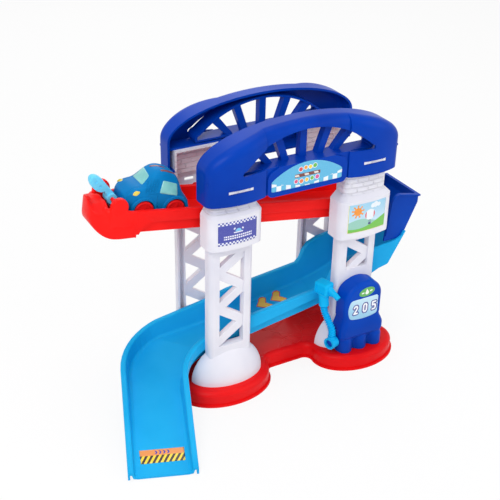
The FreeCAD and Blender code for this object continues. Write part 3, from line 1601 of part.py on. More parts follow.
end_y, end_z, end_lean = on_route(hose_length)
nozzle_neck = doc.addObject("Part::Cylinder", "nozzle_neck")
nozzle_neck.Placement = FreeCAD.Placement(
    Vector(0.0, end_y, end_z),
    FreeCAD.Rotation(Vector(0, 0, 1), Vector(0.0, math.sin(end_lean), math.cos(end_lean))))
bind(nozzle_neck, Radius=s.neck_radius, Height=s.neck_length)
head_y = end_y + math.sin(end_lean) * float(s.neck_length)
head_z = end_z + float(s.nozzle_foot)
thick = s.nozzle_thick / 2.0
deep = s.nozzle_depth / 2.0
corner = s.nozzle_round
nozzle_block = block(
    "nozzle_block", (-thick, thick), (head_y - deep, head_y + deep),
    (head_z, head_z + s.nozzle_height))
nozzle_head = rounded("nozzle_head", nozzle_block, corner, lambda edge, shape: True)
recesses = [
    block("nozzle_recess_" + tag, (near, near + 2.0 * s.nozzle_recess),
          (head_y - deep + corner + 1.0, head_y + deep - corner - 1.0),
          (head_z + corner + 1.0, head_z + s.nozzle_height - corner - 1.0))
    for tag, near in (
        ("left", -thick - s.nozzle_recess), ("right", thick - s.nozzle_recess))]
dip = math.radians(float(s.spout_dip))
spout_way = Vector(0.0, -math.cos(dip), -math.sin(dip))
spout_start = Vector(0.0, head_y - float(deep) + 3.0, head_z + float(s.nozzle_height) * 0.62)
spout_turn = FreeCAD.Rotation(Vector(0, 0, 1), spout_way)
spout = doc.addObject("Part::Cone", "nozzle_spout")
spout.Placement = FreeCAD.Placement(spout_start, spout_turn)
bind(spout, Radius1=s.spout_root_radius, Radius2=s.spout_tip_radius, Height=s.spout_length)
spout_mouth = doc.addObject("Part::Cylinder", "nozzle_mouth")
spout_mouth.Placement = FreeCAD.Placement(
    spout_start + spout_way * (float(s.spout_length) - 8.0), spout_turn)
bind(spout_mouth, Radius=s.spout_bore)
spout_mouth.Height = 10.0
trigger = prism(
    "nozzle_trigger", "YZ", -2.0, 2.0,
    [(head_y - deep + 1.0, head_z + 1.0), (head_y - deep + 1.0, head_z + 7.0),
     (head_y - deep - 5.5, head_z + 6.0), (head_y - deep - 6.5, head_z + 3.5, 2.2),
     (head_y - deep - 4.0, head_z + 2.0, 2.6)])
keep("pump_nozzle", at_eye(cut(
    "nozzle_solid", fuse("nozzle_whole", nozzle_neck, nozzle_head, spout, trigger), spout_mouth,
    *recesses)))


# Car: drawn in its own frame with its nose at -X and its wheels on the ground, then set on the
# deck behind the kicker. Each line of the table is a section: its place, the half width and height
# of its sill, belt and roof line, and the height of its top.

CAR_SECTIONS = (
    (-42.0, (10.0, 13.0), (13.5, 20.0), (9.5, 26.0), 27.5),
    (-39.5, (14.0, 9.0), (17.5, 21.0), (14.0, 30.0), 31.5),
    (-34.0, (18.0, 7.0), (20.0, 23.0), (16.0, 34.5), 36.0),
    (-27.0, (20.0, 7.0), (21.0, 25.0), (16.5, 37.0), 38.5),
    (-20.0, (20.5, 7.0), (21.5, 27.0), (16.5, 39.0), 40.5),
    (-12.0, (20.5, 7.0), (21.5, 28.0), (15.0, 46.5), 49.0),
    (-4.0, (20.5, 7.0), (21.5, 28.5), (13.0, 53.0), 55.0),
    (4.0, (20.5, 7.0), (21.5, 28.5), (12.5, 54.0), 56.0),
    (13.0, (20.5, 7.0), (21.2, 28.0), (12.5, 51.5), 53.5),
    (21.0, (20.5, 7.0), (20.5, 27.0), (13.0, 46.0), 48.0),
    (26.0, (20.0, 7.0), (19.0, 25.0), (12.5, 36.5), 38.5),
    (30.0, (19.5, 7.5), (18.0, 22.0), (12.0, 29.0), 31.0),
    (35.0, (18.0, 9.0), (16.5, 17.5), (11.0, 23.0), 24.5),
    (38.5, (13.5, 11.0), (14.0, 15.0), (9.0, 18.5), 19.5),
)


def car_section(place_x, sill, belt, roof, top):
    side = [sill, belt, ((belt[0] + roof[0]) / 2.0 + 1.2, (belt[1] + roof[1]) / 2.0 + 1.0), roof]
    points = [Vector(place_x, y, z) for y, z in side]
    points.append(Vector(place_x, 0.0, top))
    points += [Vector(place_x, -y, z) for y, z in reversed(side)]
    curve = Part.BSplineCurve()
    curve.interpolate(Points=points, Parameters=[step / 8.0 for step in range(9)])
    floor = Part.LineSegment(points[-1], points[0])
    return Part.Wire([curve.toShape(), floor.toShape()])


car_hull = doc.addObject("Part::Feature", "car_hull")
car_hull.Shape = Part.makeLoft([car_section(*row) for row in CAR_SECTIONS], True, False)
half_base = s.wheel_base / 2.0
arches = []
fenders = []
for tag, side in (("front", -1), ("rear", 1)):
    for face, out in (("left", -1), ("right", 1)):
        near = s.wheel_arch_inner if out > 0 else -(s.wheel_arch_inner + 10.0)
        arches.append(rod(
            "wheel_arch_%s_%s" % (tag, face), Vector(0, 1, 0), s.wheel_arch_radius,
            (side * half_base, near, s.wheel_radius), 10.0))
        name = "fender_%s_%s" % (tag, face)
        near = s.fender_inner if out > 0 else -s.fender_outer
        flare = rod(
            name + "_rod", Vector(0, 1, 0), s.fender_radius,
            (side * half_base, near, s.wheel_radius), s.fender_outer - s.fender_inner)
        flare = rounded(
            name + "_round", flare, s.fender_round,
            lambda edge, shape, way=out: edge.BoundBox.YLength < 0.01
            and abs(edge.BoundBox.YMin - way * s.fender_outer) < 0.01)
        fenders.append(common(name, flare, block(
            name + "_block", (side * half_base - 20.0, side * half_base + 20.0),
            (near, near + s.fender_outer - s.fender_inner), (s.fender_foot, 40.0))))
car_cavity = block(
    "car_cavity", (-s.car_cavity_half_length, s.car_cavity_half_length),
    (-s.car_cavity_half_width, s.car_cavity_half_width), (0.0, s.car_cavity_top))
on_floor = s.wheel_lift - s.deck_depth
keep("car_body", tilted(
    cut("car_shell", fuse("car_form", car_hull, *fenders), car_cavity, *arches), -s.car_place, on_floor))

plate_half_length = s.car_cavity_half_length - s.seat_gap
plate_half_width = s.car_cavity_half_width - s.seat_gap
plate_top = s.chassis_foot + s.chassis_thick
chassis = [block(
    "chassis_plate", (-plate_half_length, plate_half_length),
    (-plate_half_width, plate_half_width), (s.chassis_foot, plate_top))]
bores = []
for tag, side in (("front", -1), ("rear", 1)):
    at = side * half_base
    for face, out in (("left", -1), ("right", 1)):
        near = s.bearing_inner if out > 0 else -s.bearing_outer
        chassis.append(block(
            "bearing_%s_%s" % (tag, face), (at - s.bearing_half, at + s.bearing_half),
            (near, near + s.bearing_outer - s.bearing_inner), (s.chassis_foot, s.bearing_top)))
    chassis.append(rod(
        "post_" + tag, Vector(0, 0, 1), s.post_radius,
        (side * s.post_place, 0.0, s.chassis_foot), s.car_cavity_top - s.chassis_foot))
    bores.append(rod(
        "axle_bore_" + tag, Vector(0, 1, 0), s.axle_radius + s.axle_play,
        (at, -s.car_cavity_half_width - 1.0, s.wheel_radius), 2.0 * s.car_cavity_half_width + 2.0))
keep("car_chassis", tilted(
    cut("chassis_solid", fuse("chassis_whole", *chassis), *bores), -s.car_place, on_floor))


def car_point(x, z):
    return deck_point(x - s.car_place, z + on_floor)


def wheel(node, side, out):
    # A dished wheel with raised spokes on its outer face, and a blind bore for its axle.
    body = doc.addObject("PartDesign::Body", node + "_turned")
    half = s.wheel_width / 2.0
    rim = s.wheel_radius - s.wheel_chamfer
    dish = half - s.wheel_dish
    stop = s.axle_half - s.wheel_outer + half
    outline = [
        (-half + 0.2, 0.0), (-stop, 0.0), (-stop, s.axle_radius), (half, s.axle_radius),
        (half, rim), (half - s.wheel_chamfer, s.wheel_radius),
        (-half + s.wheel_chamfer, s.wheel_radius), (-half, rim), (-half, s.wheel_rim + 0.8),
        (-dish, s.wheel_rim), (-dish, s.wheel_hub + 0.6), (-half + 0.2, s.wheel_hub)]
    sketch = body_sketch(body, node + "_outline", "YZ_Plane", Size(0.0, "0"), [outline])
    turn = body.newObject("PartDesign::Revolution", node + "_revolution")
    turn.Profile = (sketch, [""])
    turn.ReferenceAxis = (sketch, ["H_Axis"])
    turn.Angle = 360.0
    spoke_sketch = body_sketch(body, node + "_spoke", "XZ_Plane", dish, [[
        (s.wheel_hub - 0.4, -s.spoke_half), (s.wheel_rim + 0.4, -s.spoke_half),
        (s.wheel_rim + 0.4, s.spoke_half), (s.wheel_hub - 0.4, s.spoke_half)]])
    doc.recompute()
    pad = body.newObject("PartDesign::Pad", node + "_pad")
    pad.Profile = (spoke_sketch, [""])
    bind(pad, Length=s.wheel_dish - 0.3)
    pattern = body.newObject("PartDesign::PolarPattern", node + "_spokes")
    pattern.Originals = [pad]
    pattern.Axis = (spoke_sketch, ["N_Axis"])
    pattern.Angle = 360.0
    pattern.Occurrences = int(s.spoke_count)
    body.Tip = pattern
    angle = 0.0 if out < 0 else 180.0
    body.Placement = FreeCAD.Placement(Vector(), FreeCAD.Rotation(Vector(0, 0, 1), angle))
    x, z = car_point(side * half_base, s.wheel_radius)
    place(body, x, out * (s.wheel_outer - half), z)
    return keep(node, body)


for tag, side in (("front", -1), ("rear", 1)):
    x, z = car_point(side * half_base, s.wheel_radius)
    keep("car_%s_axle" % tag, rod(
        "axle_" + tag, Vector(0, 1, 0), s.axle_radius, (x, -s.axle_half, z), 2.0 * s.axle_half))
    for face, out in (("left", -1), ("right", 1)):
        wheel("car_wheel_%s_%s" % (tag, face), side, out)


# Every object is recomputed and tested before anything is written.

doc.recompute()
faults = []
for thing in doc.Objects:
    if "Invalid" in thing.State or "Error" in thing.State:
        faults.append("%s: %s" % (thing.Name, thing.State))
for node, piece in nodes.items():
    shape = piece.Shape
    if shape.isNull() or not shape.isValid() or not shape.Solids:
        faults.append("%s has no valid solid" % node)
    elif len(shape.Solids) != 1:
        faults.append("%s has %d solids" % (node, len(shape.Solids)))
if faults:
    raise RuntimeError("; ".join(faults))
os.makedirs("parts", exist_ok=True)
for node, piece in nodes.items():
    piece.Shape.exportStep("parts/%s.step" % node)
print("wrote %d parts" % len(nodes))
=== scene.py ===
import math

import bmesh
import bpy
import numpy as np
from mathutils import Matrix, Vector
from mathutils.bvhtree import BVHTree


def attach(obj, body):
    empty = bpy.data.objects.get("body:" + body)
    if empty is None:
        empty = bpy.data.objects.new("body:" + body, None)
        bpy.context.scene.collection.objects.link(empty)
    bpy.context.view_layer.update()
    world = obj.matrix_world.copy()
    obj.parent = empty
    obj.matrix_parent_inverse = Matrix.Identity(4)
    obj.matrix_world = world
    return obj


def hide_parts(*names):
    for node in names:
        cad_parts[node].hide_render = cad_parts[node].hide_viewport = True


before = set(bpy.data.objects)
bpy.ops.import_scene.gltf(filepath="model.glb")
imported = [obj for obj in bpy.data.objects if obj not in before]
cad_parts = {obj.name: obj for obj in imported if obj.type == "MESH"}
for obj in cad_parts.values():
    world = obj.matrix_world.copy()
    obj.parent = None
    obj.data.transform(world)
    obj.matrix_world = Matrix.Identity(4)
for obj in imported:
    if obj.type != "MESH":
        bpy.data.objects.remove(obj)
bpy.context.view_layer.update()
print("frame loaded:", len(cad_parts), "CAD nodes")


# Shader maths: a wire wraps one socket, and an expression on wires adds its Math nodes.

class Wire:
    def __init__(self, finish, socket):
        self.finish = finish
        self.socket = socket

    def math(self, operation, *others, flipped=False):
        values = [self, *others]
        if flipped:
            values.reverse()
        return self.finish.node(
            "ShaderNodeMath", {"operation": operation}, dict(enumerate(values)))

    def __add__(self, other):
        return self.math("ADD", other)

    __radd__ = __add__

    def __sub__(self, other):
        return self.math("SUBTRACT", other)

    def __rsub__(self, other):
        return self.math("SUBTRACT", other, flipped=True)

    def __mul__(self, other):
        return self.math("MULTIPLY", other)

    __rmul__ = __mul__

    def __truediv__(self, other):
        return self.math("DIVIDE", other)

    def __gt__(self, other):
        return self.math("GREATER_THAN", other)

    def __lt__(self, other):
        return self.math("LESS_THAN", other)

    def __abs__(self):
        return self.math("ABSOLUTE")

    def between(self, low, high):
        return (self > low) * (self < high)

    def fromMiddle(self):
        # How far a value is from the middle of its own unit step.
        return abs(self.math("FRACT") - 0.5)

    def ease(self, low, high):
        # 0 below low, 1 above high, smooth between.
        return self.finish.node(
            "ShaderNodeMapRange", {"interpolation_type": "SMOOTHSTEP"},
            {"Value": self, "From Min": low, "From Max": high})

    def either(self, other):
        return self.math("MAXIMUM", other)


def linear(colour):
    # An 8-bit display colour as Blender's linear one.
    return tuple(
        (v / 255 / 12.92 if v <= 10 else ((v / 255 + 0.055) / 1.055) ** 2.4)
        for v in colour) + (1.0,)


class Finish:
    def __init__(self, name):
        self.material = bpy.data.materials.new(name)
        self.material.use_nodes = True
        self.tree = self.material.node_tree
        self.shader = self.tree.nodes["Principled BSDF"]
        self.places = {}

    def node(self, kind, settings=None, inputs=None, output=0):
        made = self.tree.nodes.new(kind)
        for key, value in (settings or {}).items():
            setattr(made, key, value)
        for key, value in (inputs or {}).items():
            self.feed(made.inputs[key], value)
        return Wire(self, made.outputs[output])

    def feed(self, socket, value):
        if isinstance(value, Wire):
            self.tree.links.new(value.socket, socket)
        else:
            socket.default_value = value

    def set(self, name, value):
        self.feed(self.shader.inputs[name], value)

    def point(self):
        # The place on the part, in metres: vector, x, y and z.
        if "point" not in self.places:
            vector = self.node("ShaderNodeTexCoord", output="Object")
            parts = [
                self.node("ShaderNodeSeparateXYZ", None, {0: vector}, axis) for axis in range(3)]
            self.places["point"] = (vector, *parts)
        return self.places["point"]

    def chart(self):
        # The place on a label, from 0 to 1 along and up it.
        vector = self.node("ShaderNodeTexCoord", output="UV")
        return [self.node("ShaderNodeSeparateXYZ", None, {0: vector}, axis) for axis in range(2)]

    def mix(self, mask, low, high):
        made = self.tree.nodes.new("ShaderNodeMix")
        made.data_type = "RGBA"
        self.feed(made.inputs[0], mask)
        self.feed(made.inputs[6], low)
        self.feed(made.inputs[7], high)
        return Wire(self, made.outputs[2])

    def noise(self, scale, detail=2.0, vector=None, rough=0.5):
        return self.node(
            "ShaderNodeTexNoise", None,
            {"Vector": vector or self.point()[0], "Scale": scale, "Detail": detail,
             "Roughness": rough})

    def bump(self, height, strength, distance, normal=None):
        inputs = {"Height": height, "Strength": strength, "Distance": distance}
        if normal:
            inputs["Normal"] = normal
        return self.node("ShaderNodeBump", None, inputs)


# Moulded plastic: an even colour with faint flow marks, a fine grain, soft pale rubbed patches
# and light handling marks in the gloss.

plasticValues = {
    "towerWhite": {"colour": (238, 237, 244), "shade": (222, 222, 234), "rough": 0.38},
    "archBlue": {"colour": (1, 64, 178), "shade": (0, 52, 158), "rough": 0.34},
    "deckRed": {"colour": (255, 32, 28), "shade": (240, 18, 20), "rough": 0.34},
    "baseRed": {"colour": (240, 28, 30), "shade": (222, 12, 20), "rough": 0.34},
    "rampBlue": {"colour": (32, 178, 238), "shade": (10, 162, 226), "rough": 0.32},
    "chuteBlue": {"colour": (3, 72, 184), "shade": (0, 58, 164), "rough": 0.34},
    "pumpBlue": {"colour": (2, 74, 190), "shade": (0, 60, 168), "rough": 0.36},
    "lightBlue": {"colour": (14, 188, 248), "shade": (2, 172, 236), "rough": 0.32},
    "leverBlue": {"colour": (116, 216, 252), "shade": (90, 202, 246), "rough": 0.3},
    "carBlue": {"colour": (4, 130, 198), "shade": (0, 110, 176), "rough": 0.46},
    "wheelRed": {"colour": (240, 34, 36), "shade": (216, 18, 22), "rough": 0.4},
    "chassisBlack": {"colour": (20, 26, 44), "shade": (12, 16, 30), "rough": 0.5},
}


# What the plastics share. A noise is given as its scale and its detail.

mouldingValues = {
    "cloud": (14.0, 3.0), "cloudShare": 0.6, "cloudGloss": 0.12, "flow": (5.0, 4.0),
    "flowRough": 0.62, "shadeEase": (0.35, 0.72), "scuff": (420.0, 3.0), "scuffRough": 0.7,
    "scuffEase": (0.6, 0.78), "scuffPale": 46, "scuffShare": 0.10, "scuffGloss": 0.18,
    "rubbed": (36.0, 4.0), "rubbedEase": (0.48, 0.7), "grain": (2600.0, 2.0),
    "grainBump": (0.05, 0.00012), "specular": 0.09, "ior": 1.48}


def plastic(name, relief=None):
    values, m = plasticValues[name], mouldingValues
    finish = Finish(name)
    cloud = finish.noise(*m["cloud"])
    flow = finish.noise(*m["flow"], rough=m["flowRough"])
    cover = (cloud * m["cloudShare"] + flow * (1.0 - m["cloudShare"])).ease(*m["shadeEase"])
    colour = finish.mix(cover, linear(values["colour"]), linear(values["shade"]))
    worn = finish.noise(*m["scuff"], rough=m["scuffRough"]).ease(*m["scuffEase"])
    worn = worn * finish.noise(*m["rubbed"]).ease(*m["rubbedEase"])
    pale = linear(tuple(min(255, v + m["scuffPale"]) for v in values["colour"]))
    finish.set("Base Color", finish.mix(worn * m["scuffShare"], colour, pale))
    finish.set("Roughness", (
        values["rough"] + (cloud - 0.5) * m["cloudGloss"] + worn * m["scuffGloss"]))
    normal = finish.bump(finish.noise(*m["grain"]), *m["grainBump"])
    if relief:
        height, strength, distance = relief(finish, *finish.point()[1:])
        normal = finish.bump(height, strength, distance, normal)
    finish.set("Normal", normal)
    finish.set("Specular IOR Level", m["specular"])
    finish.set("IOR", m["ior"])
    return finish.material


brickValues = {
    "lowLeft": 0.2560, "lowRight": 0.2405, "high": 0.2960, "row": 0.0066, "length": 0.0150,
    "joint": 0.0009, "jointCore": 0.3, "sideShare": 0.9, "lowest": 0.5, "strength": 1.0,
    "depth": 0.0011}


def neckBricks(finish, x, y, z):
    # Courses of shallow bricks round the towers' necks, in front, behind and at the sides.
    v = brickValues
    course = (v["high"] - z) / v["row"]
    row = course.math("FLOOR")
    along = (x + y * v["sideShare"]) / v["length"] + row.math("MODULO", 2.0) * 0.5
    upright, level = (
        step.fromMiddle().ease(0.5 - v["joint"] / size, 0.5 - v["joint"] / size * v["jointCore"])
        for step, size in ((along, v["length"]), (course, v["row"])))
    random = finish.node(
        "ShaderNodeTexWhiteNoise", {"noise_dimensions": "2D"},
        {"Vector": finish.node(
            "ShaderNodeCombineXYZ", None, {0: along.math("FLOOR"), 1: row})})
    foot = (x < 0.0) * (v["lowLeft"] - v["lowRight"]) + v["lowRight"]
    height = (1.0 - upright.either(level)) * (v["lowest"] + random * (1.0 - v["lowest"]))
    return height * z.between(foot, v["high"]), v["strength"], v["depth"]


slabValues = {
    "scale": 62.0, "crack": (0.01, 0.045), "warpScale": 40.0, "warp": 0.012, "lowest": 0.35,
    "patch": (22.0, 1.0), "patchEase": (0.46, 0.54), "half": 0.036, "end": 0.125, "top": 0.0198,
    "strength": 0.7, "depth": 0.0011}


def pavingSlabs(finish, x, y, z):
    # Broken paving in relief on the base between the towers.
    v = slabValues
    vector = finish.point()[0]
    waver = finish.node("ShaderNodeTexNoise", None, {"Vector": vector, "Scale": v["warpScale"]}, 1)
    warped = finish.node(
        "ShaderNodeVectorMath", {"operation": "ADD"},
        {0: vector, 1: finish.node(
            "ShaderNodeVectorMath", {"operation": "SCALE"}, {0: waver, "Scale": v["warp"]})})
    cracks = finish.node(
        "ShaderNodeTexVoronoi", {"feature": "DISTANCE_TO_EDGE"},
        {"Vector": warped, "Scale": v["scale"]})
    cell = finish.node(
        "ShaderNodeTexVoronoi", {"feature": "F1"}, {"Vector": warped, "Scale": v["scale"]}, 1)
    tone = finish.node("ShaderNodeSeparateColor", None, {0: cell})
    slab = cracks.ease(*v["crack"]) * (v["lowest"] + tone * (1.0 - v["lowest"]))
    patch = finish.noise(*v["patch"]).ease(*v["patchEase"])
    inside = (z > v["top"]) * (abs(y) < v["half"]) * (abs(x) < v["end"])
    return slab * patch * inside, v["strength"], v["depth"]


carValues = {
    "tilt": math.radians(9.09), "place": -0.1686, "floor": 0.0003 - 0.017, "origin": 0.237,
    "glass": (132, 208, 204), "glassDark": (112, 192, 192), "glassRough": 0.22,
    "streak": (60.0, 2.0), "streakEase": (0.35, 0.7), "lamp": (236, 214, 74),
    "lampRough": 0.25, "stripe": (128, 34, 40), "stripeRough": 0.35}
carReliefValues = {
    "dimples": (-0.0158, -0.0020), "dimpleFoot": 0.0335, "dimpleTop": 0.0465,
    "pitch": (0.0032, 0.0017), "pitEase": (0.26, 0.44), "lean": 0.32, "side": 0.013,
    "groove": 0.00035, "grooveFade": 2.2, "bonnet": 0.0135, "bonnetEnds": (-0.039, -0.0225),
    "bonnetFoot": 0.03, "bonnetDeep": 0.7, "door": (-0.0040, 0.0225), "doorFoot": 0.0115,
    "doorTop": 0.0310, "doorDeep": 0.8, "waistAhead": 0.012, "strength": 1.0, "depth": 0.0006}


def carRelief(finish, x, y, z):
    # Dimples behind the windscreen, and seams along the bonnet and round the doors.
    v, c = carReliefValues, carValues
    cosine, sine = math.cos(c["tilt"]), math.sin(c["tilt"])
    along = x * cosine - (z - c["origin"]) * sine - c["place"]
    rise = x * sine + (z - c["origin"]) * cosine - c["floor"]
    side = abs(y)
    slid = along - (rise - v["dimpleTop"]) * v["lean"]
    cell = (slid / v["pitch"][0]).math("FRACT") - 0.5
    step = (rise / v["pitch"][1]).math("FRACT") - 0.5
    pit = (cell * cell + step * step).math("SQRT")
    pit = (1.0 - pit.ease(*v["pitEase"])) * slid.between(*v["dimples"])
    pit = pit * rise.between(v["dimpleFoot"], v["dimpleTop"]) * (side > v["side"])

    def seamAt(across, place):
        return 1.0 - abs(across - place).ease(v["groove"], v["groove"] * v["grooveFade"])

    ahead, behind = v["door"]
    bonnet = seamAt(side, v["bonnet"]) * along.between(*v["bonnetEnds"])
    bonnet = bonnet * (rise > v["bonnetFoot"])
    doors = seamAt(along, ahead).either(seamAt(along, behind))
    doors = doors * rise.between(v["doorFoot"], v["doorTop"]) * (side > v["side"])
    waist = seamAt(rise, v["doorTop"]) * along.between(ahead - v["waistAhead"], behind)
    waist = waist * (side > v["side"])
    deep = pit.either(bonnet * v["bonnetDeep"]).either(doors * v["doorDeep"])
    return 1.0 - deep.either(waist * v["doorDeep"]), v["strength"], v["depth"]


steelValues = {
    "dark": (176, 178, 182), "light": (205, 206, 208), "drawn": (900.0, 40.0, 900.0),
    "rough": 0.24, "roughMore": 0.16}


def steelWire():
    # Steel with fine lines along the axle, which lies along Y.
    v = steelValues
    finish = Finish("axleSteel")
    stretched = finish.node(
        "ShaderNodeVectorMath", {"operation": "MULTIPLY"}, {0: finish.point()[0], 1: v["drawn"]})
    drawn = finish.noise(1.0, vector=stretched)
    finish.set("Base Color", finish.mix(drawn, linear(v["dark"]), linear(v["light"])))
    finish.set("Roughness", v["rough"] + drawn * v["roughMore"])
    finish.set("Metallic", 1.0)
    return finish.material


reliefs = {"towerWhite": neckBricks, "baseRed": pavingSlabs, "carBlue": carRelief}
materials = {name: plastic(name, reliefs.get(name)) for name in plasticValues}
materials["axleSteel"] = steelWire()

nodeFinish = {
    "base": "baseRed", "deck": "deckRed", "lever_pin": "deckRed", "launch_lever": "leverBlue",
    "chute": "chuteBlue", "ramp": "rampBlue", "pump_body": "pumpBlue", "hose_eye": "lightBlue",
    "pump_hose": "lightBlue", "pump_nozzle": "lightBlue", "car_body": "carBlue",
    "car_chassis": "chassisBlack", "car_front_axle": "axleSteel", "car_rear_axle": "axleSteel",
    "arch_front": "archBlue", "arch_rear": "archBlue"}
for nodeName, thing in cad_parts.items():
    if nodeName.startswith("tower"):
        finishName = "towerWhite"
    elif nodeName.startswith("car_wheel"):
        finishName = "wheelRed"
    else:
        finishName = nodeFinish[nodeName]
    thing.data.materials.clear()
    thing.data.materials.append(materials[finishName])
print("plastics laid on the CAD nodes")


# Moulded forms: a field of distances is sampled on a grid, and its skin becomes the mesh.

formValues = {"sharp": math.radians(32), "weld": 0.000002}


def soft(a, b, width):
    # The larger of two distances, with the corner between them rounded.
    blend = np.maximum(width - np.abs(a - b), 0.0) / width
    return np.maximum(a, b) + blend * blend * width * 0.25


def join(a, b, width):
    return -soft(-a, -b, width)


def eased(value, start, end):
    # 0 at the start and 1 at the end, smooth between.
    share = np.clip((value - start) / (end - start), 0.0, 1.0)
    return share * share * (3.0 - 2.0 * share)


def reachOf(*sides):
    # The distance to a box's corner from how far a point lies past each of its sides.
    outside = np.sqrt(sum(np.maximum(side, 0.0) ** 2 for side in sides))
    inside = sides[0]
    for side in sides[1:]:
        inside = np.maximum(inside, side)
    return outside + np.minimum(inside, 0.0)


def cellsBehind(at, others, back, shape):
    # The cells that share the edges at these places, and which of them are on the grid.
    cells = at.copy()
    cells[:, others] -= back
    return cells, np.all((cells >= 0) & (cells < shape), axis=1)


def skinOf(field, low, high, step):
    # One point in each cell that the skin passes, and one face round each edge that crosses it.
    ways = [np.arange(a, b + step, step) for a, b in zip(low, high)]
    values = field(*np.meshgrid(*ways, indexing="ij"))
    shape = tuple(n - 1 for n in values.shape)
    total, count = np.zeros(shape + (3,)), np.zeros(shape)
    crossings = []
    for axis in range(3):
        first, last = [slice(None)] * 3, [slice(None)] * 3
        first[axis], last[axis] = slice(0, -1), slice(1, None)
        near, far = values[tuple(first)], values[tuple(last)]
        crossed = (near < 0) != (far < 0)
        at = np.argwhere(crossed)
        points = at.astype(float)
        points[:, axis] += near[crossed] / (near[crossed] - far[crossed])
        others = [other for other in range(3) if other != axis]
        for back in ((0, 0), (0, 1), (1, 0), (1, 1)):
            cells, fits = cellsBehind(at, others, back, shape)
            where = tuple(cells[fits].T)
            np.add.at(total, where, points[fits])
            np.add.at(count, where, 1.0)
        crossings.append((at, near[crossed] < 0, others))
    filled = count > 0
    numbers = np.full(shape, -1)
    numbers[filled] = np.arange(int(filled.sum()))
    spots = total[filled] / count[filled][:, None] * step + np.array(low)
    faces = []
    for axis, (at, outward, others) in enumerate(crossings):
        corners = [
            cellsBehind(at, others, back, shape) for back in ((0, 0), (1, 0), (1, 1), (0, 1))]
        fits = np.all([inside for cells, inside in corners], axis=0)
        loop = np.stack([numbers[tuple(cells[fits].T)] for cells, inside in corners], axis=1)
        turned = outward[fits] if axis != 1 else ~outward[fits]
        loop[~turned] = loop[~turned][:, ::-1]
        faces.append(loop)
    return spots, np.concatenate(faces)


def mouldedForm(name, bodyName, field, values, placed, material, rest):
    # placed turns the field's own points into the frame's, both in millimetres. rest is a mesh
    # that the form is joined with.
    spots, faces = skinOf(field, values["low"], values["high"], values["grid"])
    mesh = bpy.data.meshes.new(name)
    mesh.from_pydata([tuple(spot) for spot in placed(spots) / 1000.0], [], faces.tolist())
    made = bmesh.new()
    made.from_mesh(mesh)
    made.from_mesh(rest)
    made.to_mesh(mesh)
    made.free()
    mesh.polygons.foreach_set("use_smooth", [True] * len(mesh.polygons))
    mesh.set_sharp_from_angle(angle=formValues["sharp"])
    mesh.materials.clear()
    mesh.materials.append(material)
    piece = bpy.data.objects.new(name, mesh)
    bpy.context.scene.collection.objects.link(piece)
    piece.modifiers.new("weighted", "WEIGHTED_NORMAL").keep_sharp = True
    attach(piece, bodyName)
    return piece


def restOf(nodeName, spot, way):
    # A copy of a node's mesh without what lies past a plane.
    made = bmesh.new()
    made.from_mesh(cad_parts[nodeName].data)
    bmesh.ops.remove_doubles(made, verts=made.verts, dist=formValues["weld"])
    cut = bmesh.ops.bisect_plane(
        made, geom=made.verts[:] + made.edges[:] + made.faces[:], plane_co=spot, plane_no=way,
        clear_outer=True)
    bmesh.ops.holes_fill(
        made, edges=[e for e in cut["geom_cut"] if isinstance(e, bmesh.types.BMEdge)], sides=0)
    mesh = bpy.data.meshes.new(nodeName + "Rest")
    made.to_mesh(mesh)
    made.free()
    return mesh


# Deck: the scoop at its high end is one soft moulding: a saddle between a crest and an arched
# inner edge, humps at the ends of the rails, and the ears of the lever. Its values are in
# millimetres along the deck (a), across it (y) and up from it (h).

scoopValues = {
    "tilt": math.radians(9.09), "origin": 237.0, "low": (-255.0, -36.0, -35.0),
    "high": (-197.5, 36.0, 17.0), "grid": 0.8, "seam": -200.0, "step": -199.6,
    "half": 34.0, "end": -249.6, "corner": 33.6, "bodyEnd": -150.0,
    "sole": -32.5, "soleWay": 0.034, "heelRound": 25.0, "edgeSoft": 2.6,
    "crest": 8.4, "crestPlace": -246.0, "crestRun": 30.0, "crown": 0.0145, "domeShare": 0.85,
    "edge": -229.5, "edgeTop": 6.2, "edgeRun": 4.0, "topSoft": 4.0,
    "railRound": 5.0, "railEnd": -233.5, "railSoft": 2.5, "hump": 1.8, "humpFrom": -228.0,
    "humpTo": -209.0, "plainFrom": -211.0, "plainTo": -202.0, "plainRound": 1.2,
    "saddle": (-237.8, 0.0, 9.8), "nearOut": (-246.5, -34.0, -1.2),
    "farOut": (-241.0, 34.0, 12.5), "saddleRun": 1.4, "saddleRound": 8.6, "saddleJoin": 3.0,
    "saddleSoft": 2.4,
    "well": -206.0, "wellHalf": 25.0, "wellFloor": -27.3, "wellSoft": 1.6, "wellLap": 1.0,
    "channelHalf": 28.0, "channelFloor": -17.0, "channelSoft": 1.0,
    "ear": (-220.6, 5.0), "earHalf": 9.8, "earMiddle": 27.5, "earThick": 4.0, "earRound": 1.8,
    "earSoft": 2.0}


def scoopSides(a, side, h):
    # The scoop's outline from above, and the same with the round heel under it.
    v = scoopValues
    plan = reachOf(
        side - (v["half"] - v["corner"]), (v["end"] + v["corner"]) - a) - v["corner"]
    radius = v["heelRound"]
    sole = v["sole"] + (a - v["end"] - radius) * v["soleWay"]
    profile = reachOf((v["end"] + radius) - a, (sole + radius) - h) - radius
    return plan, soft(plan, profile, v["edgeSoft"])


